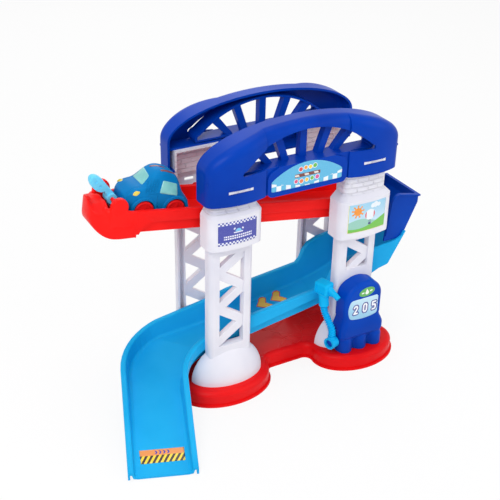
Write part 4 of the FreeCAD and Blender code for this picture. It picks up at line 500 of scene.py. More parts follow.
def scoopTop(a, side, h, plan, plain):
    # A dome that falls from the crest to the inner edge, with a round rail along each side.
    # Where plain is 1, the rails have the deck's own square edges.
    v = scoopValues
    slope = (v["edgeTop"] - v["crest"]) / (v["edge"] - v["crestPlace"])
    top = v["crest"] + np.clip(a - v["crestPlace"], 0.0, v["crestRun"]) * slope
    dome = (h - (top - v["crown"] * side * side)) * v["domeShare"]
    dome = np.maximum(dome, a - (v["edge"] + v["edgeRun"]))
    rail = v["hump"] * (1.0 - eased(a, v["humpFrom"], v["humpTo"])) - v["railRound"]
    rails = np.sqrt(
        np.minimum(a - v["railEnd"], 0.0) ** 2 + (plan + v["railRound"]) ** 2
        + np.maximum(h - rail, 0.0) ** 2) - v["railRound"]
    square = reachOf(
        side - v["half"] + v["plainRound"], h + v["plainRound"]) - v["plainRound"]
    rails = rails * (1.0 - plain) + square * plain
    below = np.maximum(h - v["channelFloor"], a - v["bodyEnd"])
    return join(join(dome, rails, v["railSoft"]), below, v["channelSoft"])


def scoopSaddle(a, y, h):
    # A round trough from the middle out over each corner.
    v = scoopValues
    start = np.array(v["saddle"])
    dish = None
    for out in (v["nearOut"], v["farOut"]):
        run = np.array(out) - start
        share = (a - start[0]) * run[0] + y * run[1] + (h - start[2]) * run[2]
        share = np.clip(share / run.dot(run), 0.0, v["saddleRun"])
        part = np.sqrt(
            (a - start[0] - share * run[0]) ** 2 + (y - share * run[1]) ** 2
            + (h - start[2] - share * run[2]) ** 2) - v["saddleRound"]
        dish = part if dish is None else join(dish, part, v["saddleJoin"])
    return dish


def scoopEars(a, side, h):
    v = scoopValues
    flat = np.sqrt(
        (a - v["ear"][0]) ** 2 + np.maximum(h - v["ear"][1], 0.0) ** 2) - v["earHalf"]
    return reachOf(
        np.maximum(flat, v["channelFloor"] - h) + v["earRound"],
        np.abs(side - v["earMiddle"]) - v["earThick"] + v["earRound"]) - v["earRound"]


def scoopField(a, y, h):
    v = scoopValues
    side = np.abs(y)
    plain = eased(a, v["plainFrom"], v["plainTo"])
    plan, outer = scoopSides(a, side, h)
    body = scoopTop(a, side, h, plan, plain)
    body = soft(outer, body, v["topSoft"]) * (1.0 - plain) + np.maximum(outer, body) * plain
    body = soft(body, -scoopSaddle(a, y, h), v["saddleSoft"])
    well = reachOf(v["edge"] - a, a - v["well"], side - v["wellHalf"], v["wellFloor"] - h)
    body = soft(body, -well, v["wellSoft"])
    channel = reachOf(
        v["well"] - v["wellLap"] - a, side - v["channelHalf"], v["channelFloor"] - h)
    body = soft(body, -channel, v["channelSoft"])
    body = join(body, scoopEars(a, side, h), v["earSoft"])
    return np.maximum(body, a - v["step"])


def fromDeck(points):
    v = scoopValues
    cosine, sine = math.cos(v["tilt"]), math.sin(v["tilt"])
    a, y, h = points.T
    return np.stack([a * cosine + h * sine, y, v["origin"] - a * sine + h * cosine], axis=1)


seam = Vector(fromDeck(np.array([[scoopValues["seam"], 0.0, 0.0]]))[0] / 1000.0)
seamWay = Vector((-math.cos(scoopValues["tilt"]), 0.0, math.sin(scoopValues["tilt"])))
deckShell = mouldedForm(
    "deckShell", "frame", scoopField, scoopValues, fromDeck, materials["deckRed"],
    restOf("deck", seam, seamWay))
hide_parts("deck")
print("deck moulded:", len(deckShell.data.vertices), "points")


# Pump: its skirt flares softly and ends in three round toes over the foot of the tower. Its
# values are in millimetres.

pumpFootValues = {
    "low": (44.0, -81.0, 15.5), "high": (126.0, -51.0, 71.5), "grid": 0.8, "seam": 70.0,
    "seamLap": 0.2, "place": 90.5, "slim": 28.0, "wide": 33.0, "front": 75.0, "back": 52.3,
    "flare": 2.4, "flareFrom": 68.0, "flareTo": 52.0, "tuck": 6.5, "tuckFrom": 45.0,
    "tuckTo": 33.0, "round": 7.0, "foot": 20.0, "wall": 2.6, "toePitch": 22.6,
    "toeShift": 1.0, "toeRound": 9.8, "toeOut": 68.2, "toeTop": 43.5, "toeSoft": 3.0,
    "bell": (90.0, 38.0, 20.0), "bellReach": (48.3, 30.3, 46.7), "bellFlat": 0.001,
    "eye": (49.0, 67.0, 37.0), "eyeTurn": math.radians(18), "boss": (6.1, 13.5, 6.4),
    "peg": (-3.3, 13.5, 4.8)}


def pumpSkirt(x, out, z):
    # A hollow case that flares and tucks in again, with the toes joined to it.
    v = pumpFootValues
    side = np.abs(x - v["place"])
    flare = eased(z, v["flareFrom"], v["flareTo"])
    tuck = eased(z, v["tuckFrom"], v["tuckTo"])
    wide = v["slim"] + (v["wide"] - v["slim"]) * flare - tuck
    front = v["front"] + v["flare"] * flare - v["tuck"] * tuck
    case = reachOf(side - wide + v["round"], out - front + v["round"]) - v["round"]
    body = np.maximum(case, -(case + v["wall"]))
    over = np.maximum(z - (v["toeTop"] - v["toeRound"]), 0.0)
    for step in (-1, 0, 1):
        across = x - v["place"] - v["toeShift"] - step * v["toePitch"]
        toe = np.sqrt(across ** 2 + (out - v["toeOut"]) ** 2 + over ** 2) - v["toeRound"]
        body = join(body, toe, v["toeSoft"])
    return np.maximum(body, v["back"] - out)


def towerBell(x, out, z):
    # The hollow over the tower's foot: how far a point is inside an ellipsoid.
    v = pumpFootValues
    spot = [way - middle for way, middle in zip((x, out, z), v["bell"])]
    share = np.sqrt(sum((way / reach) ** 2 for way, reach in zip(spot, v["bellReach"])))
    slope = np.sqrt(sum((way / reach ** 2) ** 2 for way, reach in zip(spot, v["bellReach"])))
    return share * (1.0 - share) / np.maximum(slope, v["bellFlat"])


def pumpFootField(x, y, z):
    v = pumpFootValues
    out = -y
    body = np.maximum(pumpSkirt(x, out, z), towerBell(x, out, z))
    east, north = math.cos(v["eyeTurn"]), -math.sin(v["eyeTurn"])
    ahead = x - v["eye"][0], out - v["eye"][1], z - v["eye"][2]
    along = ahead[0] * east + ahead[1] * north
    off = np.sqrt((ahead[1] * east - ahead[0] * north) ** 2 + ahead[2] ** 2)
    for near, far, radius in (v["boss"], v["peg"]):
        body = np.minimum(body, reachOf(off - radius, near - along, along - far))
    return np.maximum(body, np.maximum(v["foot"] - z, z - v["seam"]))


pumpSeam = Vector((0.0, 0.0, (pumpFootValues["seam"] - pumpFootValues["seamLap"]) / 1000.0))
pumpShell = mouldedForm(
    "pumpShell", "frame", pumpFootField, pumpFootValues, lambda points: points,
    materials["pumpBlue"], restOf("pump_body", pumpSeam, Vector((0.0, 0.0, -1.0))))
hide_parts("pump_body")
print("pump moulded:", len(pumpShell.data.vertices), "points")


# Labels: thin sheets that are laid on a node by casting a grid of points onto its surface.

sheetValues = {"castFrom": 0.03, "cast": 0.09, "thick": 0.0003, "rough": 0.3, "coat": 0.3,
               "coatRough": 0.12}
inkValues = {
    "speck": (1500.0, 2.0), "speckEase": (0.4, 0.75), "speckShare": 0.06,
    "paper": (250, 250, 250), "ripple": (160.0, 2.0), "rippleBump": (0.08, 0.0002)}
surfaces = {}


def surfaceOf(nodeName):
    if nodeName not in surfaces:
        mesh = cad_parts[nodeName].data
        surfaces[nodeName] = BVHTree.FromPolygons(
            [v.co.copy() for v in mesh.vertices], [tuple(p.vertices) for p in mesh.polygons])
    return surfaces[nodeName]


def rounded(u, v, cornerU, cornerV):
    # Moves a point of the unit square in so that the square's corners are round.
    a, b = u * 2 - 1, v * 2 - 1
    da, db = abs(a) - (1 - cornerU), abs(b) - (1 - cornerV)
    if cornerU > 0 and da > 0 and db > 0:
        s, t = da / cornerU, db / cornerV
        shrink = max(s, t) / math.hypot(s, t)
        a = math.copysign(1 - cornerU + da * shrink, a)
        b = math.copysign(1 - cornerV + db * shrink, b)
    return (a + 1) / 2, (b + 1) / 2


def thinPiece(name, made, way, material, bodyName, thick):
    # Turns a sheet to face against way and makes it a piece with a thickness behind its face.
    bmesh.ops.recalc_face_normals(made, faces=made.faces)
    if sum(face.normal.dot(way) for face in made.faces) > 0:
        bmesh.ops.reverse_faces(made, faces=made.faces)
    mesh = bpy.data.meshes.new(name)
    made.to_mesh(mesh)
    made.free()
    mesh.materials.append(material)
    piece = bpy.data.objects.new(name, mesh)
    bpy.context.collection.objects.link(piece)
    piece.modifiers.new("thickness", "SOLIDIFY").thickness = thick
    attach(piece, bodyName)


def layLabel(name, nodeName, bodyName, where, towards, material, values):
    # where(u, v) gives a point near the surface, and towards is the way the point is cast.
    columns, rows = values["grid"]
    thick = values.get("thick", sheetValues["thick"])
    tree = surfaceOf(nodeName)
    way = Vector(towards).normalized()
    made = bmesh.new()
    chart = made.loops.layers.uv.new("chart")
    grid = []
    for row in range(rows + 1):
        line = []
        for column in range(columns + 1):
            u, v = rounded(column / columns, row / rows, *values["corner"])
            point = Vector(where(u, v))
            found = tree.ray_cast(point - way * sheetValues["castFrom"], way, sheetValues["cast"])
            line.append((made.verts.new((found[0] or point) - way * thick), (u, v)))
        grid.append(line)
    for low, high in zip(grid, grid[1:]):
        for column in range(columns):
            corners = [low[column], low[column + 1], high[column + 1], high[column]]
            face = made.faces.new([corner[0] for corner in corners])
            face.smooth = True
            for loop, corner in zip(face.loops, corners):
                loop[chart].uv = corner[1]
    thinPiece(name, made, way, material, bodyName, thick)


def bilinear(corners):
    # Corners are bottom left, bottom right, top right and top left.
    a, b, c, d = (Vector(corner) for corner in corners)

    def where(u, v):
        low = a.lerp(b, u)
        return low.lerp(d.lerp(c, u), v)

    return where


def printed(name, rough=sheetValues["rough"]):
    finish = Finish(name)
    finish.set("Roughness", rough)
    finish.set("Coat Weight", sheetValues["coat"])
    finish.set("Coat Roughness", sheetValues["coatRough"])
    return finish


def inkDots(finish, colour):
    # The faint unevenness of a printed sheet, over its colours.
    v = inkValues
    speck = finish.noise(*v["speck"]).ease(*v["speckEase"])
    finish.set("Base Color", finish.mix(speck * v["speckShare"], colour, linear(v["paper"])))
    finish.set("Normal", finish.bump(finish.noise(*v["ripple"]), *v["rippleBump"]))
    return finish.material


def checks(u, v, columns, rows):
    return ((u * columns).math("FLOOR") + (v * rows).math("FLOOR")).math("MODULO", 2.0) > 0.5


def disc(u, v, centre, radius, aspect):
    # aspect is the label's width over its height.
    across = (u - centre[0]) * aspect
    up = v - centre[1]
    return (across * across + up * up) < radius * radius


def bar(u, v, low, high):
    return u.between(low[0], high[0]) * v.between(low[1], high[1])


# A label's place is in metres, and what is printed on it is in shares of its width and height.

leftLabelValues = {
    "grid": (40, 24), "corner": (0.03, 0.05), "low": (-0.1148, 0.2185),
    "high": (-0.0652, 0.2480), "front": -0.066, "aspect": 1.7, "band": 0.135,
    "checks": (22, 15), "dome": (0.5, 0.54), "domeRadius": 0.13, "rayFoot": 0.56,
    "rays": (0.19, 0.25), "spokes": 3.2, "spokeFrom": 0.82, "bar": ((0.38, 0.485), (0.62, 0.53)),
    "pips": ((0.14, 0.24), (0.86, 0.40)), "pipCount": 18.0, "pipHalf": 0.36,
    "gap": ((0.14, 0.30), (0.86, 0.34)), "field": (58, 66, 168), "light": (240, 242, 252),
    "blue": (120, 200, 240)}


def leftLabelPrint():
    # A dome with rays over a bar and two rows of pips, between two checked bands.
    v = leftLabelValues
    finish = printed("labelLeftPrint")
    across, up = finish.chart()
    light, middle = linear(v["light"]), v["dome"]
    band = (up < v["band"]).either(up > 1.0 - v["band"])
    colour = finish.mix(band * checks(across, up, *v["checks"]), linear(v["field"]), light)
    dome = disc(across, up, middle, v["domeRadius"], v["aspect"]) * (up > middle[1])
    inner, outer = (disc(across, up, middle, radius, v["aspect"]) for radius in v["rays"])
    angle = (up - middle[1]).math("ARCTAN2", (across - middle[0]) * v["aspect"])
    spokes = (angle * v["spokes"]).math("SINE") > v["spokeFrom"]
    rays = outer * (up > v["rayFoot"]) * spokes * (1.0 - inner)
    colour = finish.mix(rays, finish.mix(dome, colour, linear(v["blue"])), light)
    pips = bar(across, up, *v["pips"]) * ((across * v["pipCount"]).fromMiddle() < v["pipHalf"])
    pips = pips * (1.0 - bar(across, up, *v["gap"]))
    return inkDots(finish, finish.mix(bar(across, up, *v["bar"]).either(pips), colour, light))


rightLabelValues = {
    "grid": (40, 28), "corner": (0.02, 0.03), "low": (0.0628, 0.1918), "high": (0.1172, 0.2300),
    "front": -0.066, "aspect": 1.42, "skyEase": (0.3, 1.0),
    "clouds": ((0.62, 0.86, 0.08), (0.70, 0.88, 0.10), (0.79, 0.86, 0.07)),
    "farWave": (5.2, 0.0, 0.10, 0.0, 0.36), "nearWave": (3.4, 3.6, 0.13, 0.16, 0.20),
    "sunAt": (0.23, 0.74), "sunRadius": 0.14, "rayRadius": 0.23, "rays": 9.0, "rayFrom": 0.3,
    "balloonAt": (0.56, 0.56), "balloonRadius": 0.19, "stripes": 16.0,
    "rope": ((0.525, 0.27), (0.595, 0.38)), "ropes": 110.0, "ropeFrom": 0.3,
    "basket": ((0.525, 0.20), (0.595, 0.28)), "edge": (0.012, 0.018), "haze": (196, 228, 246),
    "sky": (158, 212, 240), "hill": (112, 196, 66), "farHill": (150, 206, 190),
    "sun": (246, 150, 30), "balloon": (226, 60, 70), "pale": (238, 244, 250),
    "dark": (60, 70, 130), "rim": (240, 232, 150)}


def underWave(across, up, waves, shift, height, slope, middle):
    return up < (across * waves + shift).math("SINE") * height + across * slope + middle


def rightLabelPrint():
    # Two hills under a sun, clouds and a striped balloon with its basket.
    v = rightLabelValues
    aspect = v["aspect"]
    finish = printed("labelRightPrint")
    across, up = finish.chart()
    colour = finish.mix(up.ease(*v["skyEase"]), linear(v["haze"]), linear(v["sky"]))
    for left, level, radius in v["clouds"]:
        cloud = disc(across, up, (left, level), radius, aspect)
        colour = finish.mix(cloud, colour, linear(v["pale"]))
    for wave, tone in (("farWave", "farHill"), ("nearWave", "hill")):
        colour = finish.mix(underWave(across, up, *v[wave]), colour, linear(v[tone]))
    sun = disc(across, up, v["sunAt"], v["sunRadius"], aspect)
    angle = (up - v["sunAt"][1]).math("ARCTAN2", (across - v["sunAt"][0]) * aspect)
    rays = (angle * v["rays"]).math("SINE") > v["rayFrom"]
    rays = disc(across, up, v["sunAt"], v["rayRadius"], aspect) * rays
    colour = finish.mix(sun.either(rays), colour, linear(v["sun"]))
    balloon = disc(across, up, v["balloonAt"], v["balloonRadius"], aspect)
    stripes = ((across - v["balloonAt"][0]) * v["stripes"]).math("COSINE") > 0.0
    colour = finish.mix(balloon, colour, linear(v["balloon"]))
    colour = finish.mix(balloon * stripes, colour, linear(v["pale"]))
    rope = bar(across, up, *v["rope"]) * ((across * v["ropes"]).fromMiddle() > v["ropeFrom"])
    basket = bar(across, up, *v["basket"])
    colour = finish.mix(rope.either(basket), colour, linear(v["dark"]))
    edge = (across < v["edge"][0]).either(up < v["edge"][1])
    return inkDots(finish, finish.mix(edge, colour, linear(v["rim"])))


plateValues = {
    "grid": (48, 24), "corner": (0.08, 0.2), "left": -0.0488, "right": 0.0462, "foot": 0.2735,
    "side": 0.2865, "top": 0.3035, "front": -0.067, "aspect": 3.2, "checks": (15, 4.6),
    "band": 0.12, "bandSides": 0.62, "bandShare": 0.9, "ribbonBox": ((0.32, 0.40), (0.68, 0.54)),
    "stripes": 46.0, "stripeLean": 0.2, "stripeFrom": 0.2, "stripeEnds": (0.43, 0.51),
    "rim": 0.022, "dots": (
        ((0.40, 0.72), 0.085, (226, 60, 60)), ((0.47, 0.76), 0.075, (246, 160, 40)),
        ((0.535, 0.75), 0.075, (250, 214, 60)), ((0.60, 0.77), 0.085, (96, 186, 70)),
        ((0.34, 0.25), 0.075, (226, 70, 120)), ((0.415, 0.22), 0.085, (240, 120, 60)),
        ((0.49, 0.24), 0.075, (250, 200, 60)), ((0.565, 0.26), 0.08, (110, 190, 80)),
        ((0.64, 0.27), 0.085, (226, 80, 150))),
    "field": (86, 184, 226), "light": (240, 246, 250), "ribbon": (120, 52, 40),
    "thread": (235, 225, 215)}


def platePoint(u, v):
    p = plateValues
    across = u * 2 - 1
    height = p["side"] + (p["top"] - p["side"]) * (1 - across * across)
    return (
        p["left"] + (p["right"] - p["left"]) * u, p["front"],
        p["foot"] + (height - p["foot"]) * v)


def platePrint():
    # Coloured dots round a ribbon, over a checked foot.
    p = plateValues
    finish = printed("platePrint")
    x, z = finish.point()[1::2]
    across = (x - p["left"]) / (p["right"] - p["left"])
    up = (z - p["foot"]) / (p["top"] - p["foot"])
    bandTop = (p["band"] + abs(across - 0.5) * p["bandSides"]).ease(0.0, 1.0) * p["bandShare"]
    squares = checks(across, up, *p["checks"]) * (up < bandTop)
    colour = finish.mix(squares, linear(p["field"]), linear(p["light"]))
    ribbon = bar(across, up, *p["ribbonBox"])
    stripes = ((across + up * p["stripeLean"]) * p["stripes"]).math("SINE") > p["stripeFrom"]
    colour = finish.mix(ribbon, colour, linear(p["ribbon"]))
    colour = finish.mix(
        ribbon * stripes * up.between(*p["stripeEnds"]), colour, linear(p["thread"]))
    for centre, radius, tone in p["dots"]:
        for size, ink in ((radius + p["rim"], p["light"]), (radius, tone)):
            dot = disc(across, up, centre, size, p["aspect"])
            colour = finish.mix(dot, colour, linear(ink))
    return inkDots(finish, colour)


ovalValues = {
    "grid": (32, 20), "corner": (1.0, 1.0), "centre": (0.0930, 0.1062),
    "half": (0.0119, 0.0064), "front": -0.079, "tilt": math.radians(6.5), "aspect": 1.9,
    "drop": (0.5, 0.42), "dropRadius": 0.22, "tip": 0.88, "tipSlope": 0.5, "sides": (
        ((0.16, 0.42), (0.32, 0.58)), ((0.68, 0.42), (0.84, 0.58))),
    "green": (88, 178, 78), "light": (244, 250, 240)}


def ovalPrint():
    # A drop between two bars.
    v = ovalValues
    finish = printed("pumpOvalPrint")
    across, up = finish.chart()
    middle, level = v["drop"]
    mark = disc(across, up, v["drop"], v["dropRadius"], v["aspect"])
    tip = abs(across - middle) * v["aspect"] < (v["tip"] - up) * v["tipSlope"]
    mark = mark.either(tip * (up > level))
    for low, high in v["sides"]:
        mark = mark.either(bar(across, up, low, high))
    return inkDots(finish, finish.mix(mark, linear(v["green"]), linear(v["light"])))


# The display's edge colour is the paler blue of a painted sheen laid over the window's tint.
displayValues = {
    "grid": (36, 24), "corner": (0.16, 0.26), "left": 0.0698, "right": 0.1115,
    "foot": 0.0698, "top": 0.0977, "front": -0.079, "bulge": (0.0035, 0.0028),
    "sheen": 0.6, "sheenEase": (0.4, 1.2), "tint": (150, 206, 236), "edge": (196, 230, 246)}
numberValues = {
    "strokes": {
        "2": [(-0.8, 0.85), (-0.45, 1.35), (0.45, 1.35), (0.8, 0.9), (0.75, 0.35), (-0.8, -1.35),
              (0.85, -1.35)],
        "0": [(-0.4, 1.4), (0.4, 1.4), (0.8, 0.9), (0.8, -0.9), (0.4, -1.4), (-0.4, -1.4),
              (-0.8, -0.9), (-0.8, 0.9), (-0.4, 1.4)],
        "5": [(0.8, 1.35), (-0.7, 1.35), (-0.75, 0.2), (0.4, 0.3), (0.8, -0.15), (0.8, -0.9),
              (0.4, -1.35), (-0.75, -1.35)]},
    "order": "205", "places": (0.0775, 0.0919, 0.1057), "height": 0.0826, "unit": 0.0040,
    "white": 0.00125, "border": 0.0028, "slim": 0.72, "dark": (44, 50, 150),
    "light": (246, 248, 252)}


def strokeReach(finish, x, z, a, b):
    # The squared distance from a point to the straight stroke between a and b.
    along, up = b[0] - a[0], b[1] - a[1]
    left, low = x - a[0], z - a[1]
    share = finish.node("ShaderNodeMath", {"operation": "MULTIPLY", "use_clamp": True}, {
        0: left * along + low * up, 1: 1.0 / (along * along + up * up)})
    left, low = left - share * along, low - share * up
    return left * left + low * low


def displayPrint():
    d, v = displayValues, numberValues
    finish = printed("pumpDisplayPrint")
    across, up = finish.chart()
    x, z = finish.point()[1::2]
    # Painted sheen: the window's tint pales towards its top right into the edge colour, like light
    # lying on glass.
    sheen = (across * d["sheen"] + up).ease(*d["sheenEase"])
    colour = finish.mix(sheen, linear(d["tint"]), linear(d["edge"]))
    nearest = None
    for place, figure in zip(v["places"], v["order"]):
        line = [
            (place + a * v["unit"] * v["slim"], v["height"] + b * v["unit"])
            for a, b in v["strokes"][figure]]
        for a, b in zip(line, line[1:]):
            reach = strokeReach(finish, x, z, a, b)
            nearest = nearest.math("MINIMUM", reach) if nearest else reach
    reach = nearest.math("SQRT")
    colour = finish.mix(reach < v["border"], colour, linear(v["dark"]))
    return inkDots(finish, finish.mix(reach < v["white"], colour, linear(v["light"])))


exitValues = {
    "grid": (30, 14), "corner": (0.0, 0.0),
    "corners": ((-0.2477, -0.1331, 0.006), (-0.2005, -0.1504, 0.0068),
                (-0.1946, -0.1342, 0.0100), (-0.2423, -0.1151, 0.0096)),
    "stripes": 8.0, "lean": 1.7, "split": 0.56, "arrows": 11.0, "arrowShare": 0.42,
    "arrowFold": 2.4, "arrowLevel": 0.77, "arrowBox": ((0.32, 0.64), (0.68, 0.9)),
    "orange": (240, 154, 82), "yellow": (250, 220, 50), "black": (40, 36, 34),
    "mark": (60, 60, 170)}


def exitPrint():
    # Hazard stripes above, and a band with arrows below.
    v = exitValues
    finish = printed("rampExitPrint")
    across, up = finish.chart()
    stripes = (across * v["stripes"] - up * v["lean"]).math("FRACT") < 0.5
    hazard = finish.mix(stripes, linear(v["yellow"]), linear(v["black"]))
    fold = abs(up - v["arrowLevel"]) * v["arrowFold"]
    arrows = (across * v["arrows"] + fold).math("FRACT") < v["arrowShare"]
    arrows = arrows * bar(across, up, *v["arrowBox"])
    band = finish.mix(arrows, linear(v["orange"]), linear(v["mark"]))
    return inkDots(finish, finish.mix(up > v["split"], hazard, band))


def boxWhere(values):
    low, high = values["low"], values["high"]
    return lambda u, v: (
        low[0] + (high[0] - low[0]) * u, values["front"], low[1] + (high[1] - low[1]) * v)


def ovalWhere(u, v):
    c, h, tilt = ovalValues["centre"], ovalValues["half"], ovalValues["tilt"]
    a, b = (u * 2 - 1) * h[0], (v * 2 - 1) * h[1]
    return (
        c[0] + a * math.cos(tilt) - b * math.sin(tilt), ovalValues["front"],
        c[1] + a * math.sin(tilt) + b * math.cos(tilt))


def displayWhere(u, v):
    # The window's foot and left end bulge, and its top is straight.
    d = displayValues
    bulgeLeft = d["bulge"][0] * (1 - (v * 2 - 1) ** 2) * (1 - u)
    bulgeFoot = d["bulge"][1] * (1 - (u * 2 - 1) ** 2) * (1 - v)
    return (
        d["left"] + (d["right"] - d["left"]) * u - bulgeLeft, d["front"],
        d["foot"] + (d["top"] - d["foot"]) * v - bulgeFoot)


toRear, toFloor = Vector((0.0, 1.0, 0.0)), Vector((0.0, 0.0, -1.0))
for name, nodeName, where, towards, material, values in (
        ("labelLeft", "tower_front_left", boxWhere(leftLabelValues), toRear,
         leftLabelPrint(), leftLabelValues),
        ("labelRight", "tower_front_right", boxWhere(rightLabelValues), toRear,
         rightLabelPrint(), rightLabelValues),
        ("labelPlate", "arch_front", platePoint, toRear, platePrint(), plateValues),
        ("labelOval", "pump_body", ovalWhere, toRear, ovalPrint(), ovalValues),
        ("labelDisplay", "pump_body", displayWhere, toRear, displayPrint(), displayValues),
        ("labelExit", "ramp", bilinear(exitValues["corners"]), toFloor, exitPrint(),
         exitValues)):
    layLabel(name, nodeName, "frame", where, towards, material, values)
print("labels laid")


plainInkValues = {"cloud": (90.0, 2.0), "cloudEase": (0.4, 0.7), "darker": 10}


def plainInk(name, colour, rough):
    # One colour that darkens a little in clouds.
    finish = printed(name, rough)
    cloud = finish.noise(*plainInkValues["cloud"]).ease(*plainInkValues["cloudEase"])
    dark = tuple(max(0, c - plainInkValues["darker"]) for c in colour)
    return inkDots(finish, finish.mix(cloud, linear(colour), linear(dark)))


# Arrows on the ramp's floor, in yellow with a red border, that point the way the car rolls.

arrowValues = {
    "starts": ((-0.0168, 0.0132), (0.0048, 0.0138)), "arm": (
        (0.0078, 0.0088), (0.0088, 0.0112), (0.0112, 0.0122), (0.0150, 0.0116),
        (0.0168, 0.0090)), "notch": 0.0118, "border": 0.0011, "mitre": 0.5, "cuts": 7,
    "dropFrom": 0.11, "drop": 0.1, "thick": 0.00025, "borderLift": 0.0003, "lift": 0.00055,
    "rough": 0.35, "yellow": (244, 206, 62), "red": (214, 44, 74)}


def grown(outline, grow):
    # The outline moved outwards by grow at each of its sides.
    moved = []
    for before, here, after in zip(outline[-1:] + outline[:-1], outline, outline[1:] + outline[:1]):
        one, two = (here - before).normalized(), (after - here).normalized()
        way = Vector((one.y + two.y, -one.x - two.x)).normalized()
        turn = way.dot(Vector((one.y, -one.x)))
        moved.append(here + way * grow / max(arrowValues["mitre"], turn))
    return moved


def rampArrow(name, start, grow, lift, material):
    # A chevron with its nose towards the ramp's exit, dropped onto the floor.
    v = arrowValues
    arm = v["arm"]
    outline = [(0.0, 0.0)] + [(a, -b) for a, b in arm] + [(v["notch"], 0.0)] + list(arm[::-1])
    outline = grown([Vector(point) for point in outline], grow)
    tree = surfaceOf("ramp")
    made = bmesh.new()
    corners = [made.verts.new((start[0] + a, start[1] + b, 0.0)) for a, b in outline]
    middle = len(arm) + 1
    made.faces.new(corners[:middle + 1])
    made.faces.new([corners[0]] + corners[middle:])
    bmesh.ops.triangulate(made, faces=made.faces[:])
    bmesh.ops.subdivide_edges(made, edges=made.edges[:], cuts=v["cuts"], use_grid_fill=True)
    for vertex in made.verts:
        above = Vector((vertex.co.x, vertex.co.y, v["dropFrom"]))
        vertex.co.z = tree.ray_cast(above, toFloor, v["drop"])[0].z + lift
    thinPiece(name, made, toFloor, material, "frame", v["thick"])


arrowYellow = plainInk("arrowYellow", arrowValues["yellow"], arrowValues["rough"])
arrowRed = plainInk("arrowRed", arrowValues["red"], arrowValues["rough"])
for number, start in enumerate(arrowValues["starts"], 1):
    rampArrow("rampArrowBorder%d" % number, start, arrowValues["border"],
              arrowValues["borderLift"], arrowRed)
    rampArrow("rampArrow%d" % number, start, 0.0, arrowValues["lift"], arrowYellow)
print("ramp arrows made")


# Car: windows, lamps and stripes are sheets laid on the body, given in the car's own frame with
# its nose at -X, and carried to where the car stands.

def deckWay(x, y, z):
    # A direction in the car's frame as one in the part's.
    c, s = math.cos(carValues["tilt"]), math.sin(carValues["tilt"])
    return Vector((x * c + z * s, y, -x * s + z * c))


def onDeck(x, y, z):
    # A place in the car's frame as one in the part's.
    origin = Vector((0.0, 0.0, carValues["origin"]))
    return deckWay(carValues["place"] + x, y, carValues["floor"] + z) + origin


def carGlass():
    finish = printed("carGlassMint", carValues["glassRough"])
    streak = finish.noise(*carValues["streak"]).ease(*carValues["streakEase"])
    return inkDots(finish, finish.mix(
        streak, linear(carValues["glass"]), linear(carValues["glassDark"])))


carInks = {
    "glass": carGlass(),
    "lamp": plainInk("carLampYellow", carValues["lamp"], carValues["lampRough"]),
    "stripe": plainInk("carStripeRed", carValues["stripe"], carValues["stripeRough"])}
carSheet = {"grid": (14, 10), "corner": (0.14, 0.18), "thick": 0.0002}
carSheets = {"glass": carSheet, "stripe": carSheet, "lamp": dict(carSheet, corner=(0.7, 0.8))}
carPatches = {
    "carWindscreen": ("glass", (0.55, 0.0, -0.85), (
        (-0.0228, 0.0150, 0.042), (-0.0228, -0.0118, 0.042), (-0.0130, -0.0092, 0.050),
        (-0.0105, 0.0135, 0.052))),
    "carRearWindow": ("glass", (-1.0, 0.0, -0.5), (
        (0.0290, -0.0120, 0.034), (0.0290, 0.0120, 0.034), (0.0220, 0.0100, 0.046),
        (0.0220, -0.0100, 0.046))),
    "carLampLeft": ("lamp", (-0.2, -0.95, -0.1), (
        (-0.0346, -0.0195, 0.0302), (-0.0286, -0.0200, 0.0298), (-0.0246, -0.0195, 0.0348),
        (-0.0316, -0.0186, 0.0350))),
    "carLampRight": ("lamp", (0.15, 0.85, -0.4), (
        (-0.0316, 0.0178, 0.0352), (-0.0364, 0.0176, 0.0344), (-0.0380, 0.0180, 0.0312),
        (-0.0330, 0.0186, 0.0316))),
    "carStripeLeft": ("stripe", (0.0, 0.35, -1.0), (
        (0.0000, -0.0138, 0.06), (0.0010, -0.0112, 0.06), (0.0195, -0.0102, 0.054),
        (0.0190, -0.0130, 0.054))),
    "carStripeRight": ("stripe", (0.0, 0.0, -1.0), (
        (-0.0060, 0.0030, 0.06), (-0.0060, 0.0062, 0.06), (0.0090, -0.0022, 0.06),
        (0.0080, -0.0052, 0.06))),
}
for side, tag in ((-1, "Left"), (1, "Right")):
    carPatches["carWindow" + tag] = ("glass", (0.0, -side, -0.18), tuple(
        (x, side * 0.024, z) for x, z in (
            (-0.0024, 0.0326), (0.0205, 0.0282), (0.0198, 0.0420), (0.0022, 0.0468))[::-side]))

for name, (ink, way, corners) in carPatches.items():
    layLabel(name, "car_body", "car", bilinear([onDeck(*corner) for corner in corners]),
             deckWay(*way), carInks[ink], carSheets[ink])
print("car windows, lamps and stripes laid")


# Room: a plain pale floor, soft light and the camera.

roomValues = {
    "light": 0.56, "tint": (1.0, 0.995, 0.99, 1.0), "white": (1.0, 1.0, 1.0, 1.0),
    "floorSize": 12.0, "floorAt": (0.0, 1.0, 0.0), "floorTone": (246, 246, 247),
    "floorRough": 0.9, "floorSpecular": 0.1, "floorWhite": 0.86}


def floorFinish():
    # The floor is lit by the lamps, and mostly white to the camera and to gloss.
    v = roomValues
    finish = Finish("floorPale")
    finish.set("Base Color", linear(v["floorTone"]))
    finish.set("Roughness", v["floorRough"])
    finish.set("Specular IOR Level", v["floorSpecular"])
    seen = finish.node("ShaderNodeLightPath", output="Is Camera Ray")
    mirrored = finish.node("ShaderNodeLightPath", output="Is Glossy Ray")
    glow = finish.node("ShaderNodeEmission", None, {"Color": v["white"], "Strength": 1.0})
    mixed = finish.node("ShaderNodeMixShader", None, {
        0: seen.either(mirrored) * v["floorWhite"], 1: Wire(finish, finish.shader.outputs[0]),
        2: glow})
    finish.feed(finish.tree.nodes["Material Output"].inputs["Surface"], mixed)
    return finish.material


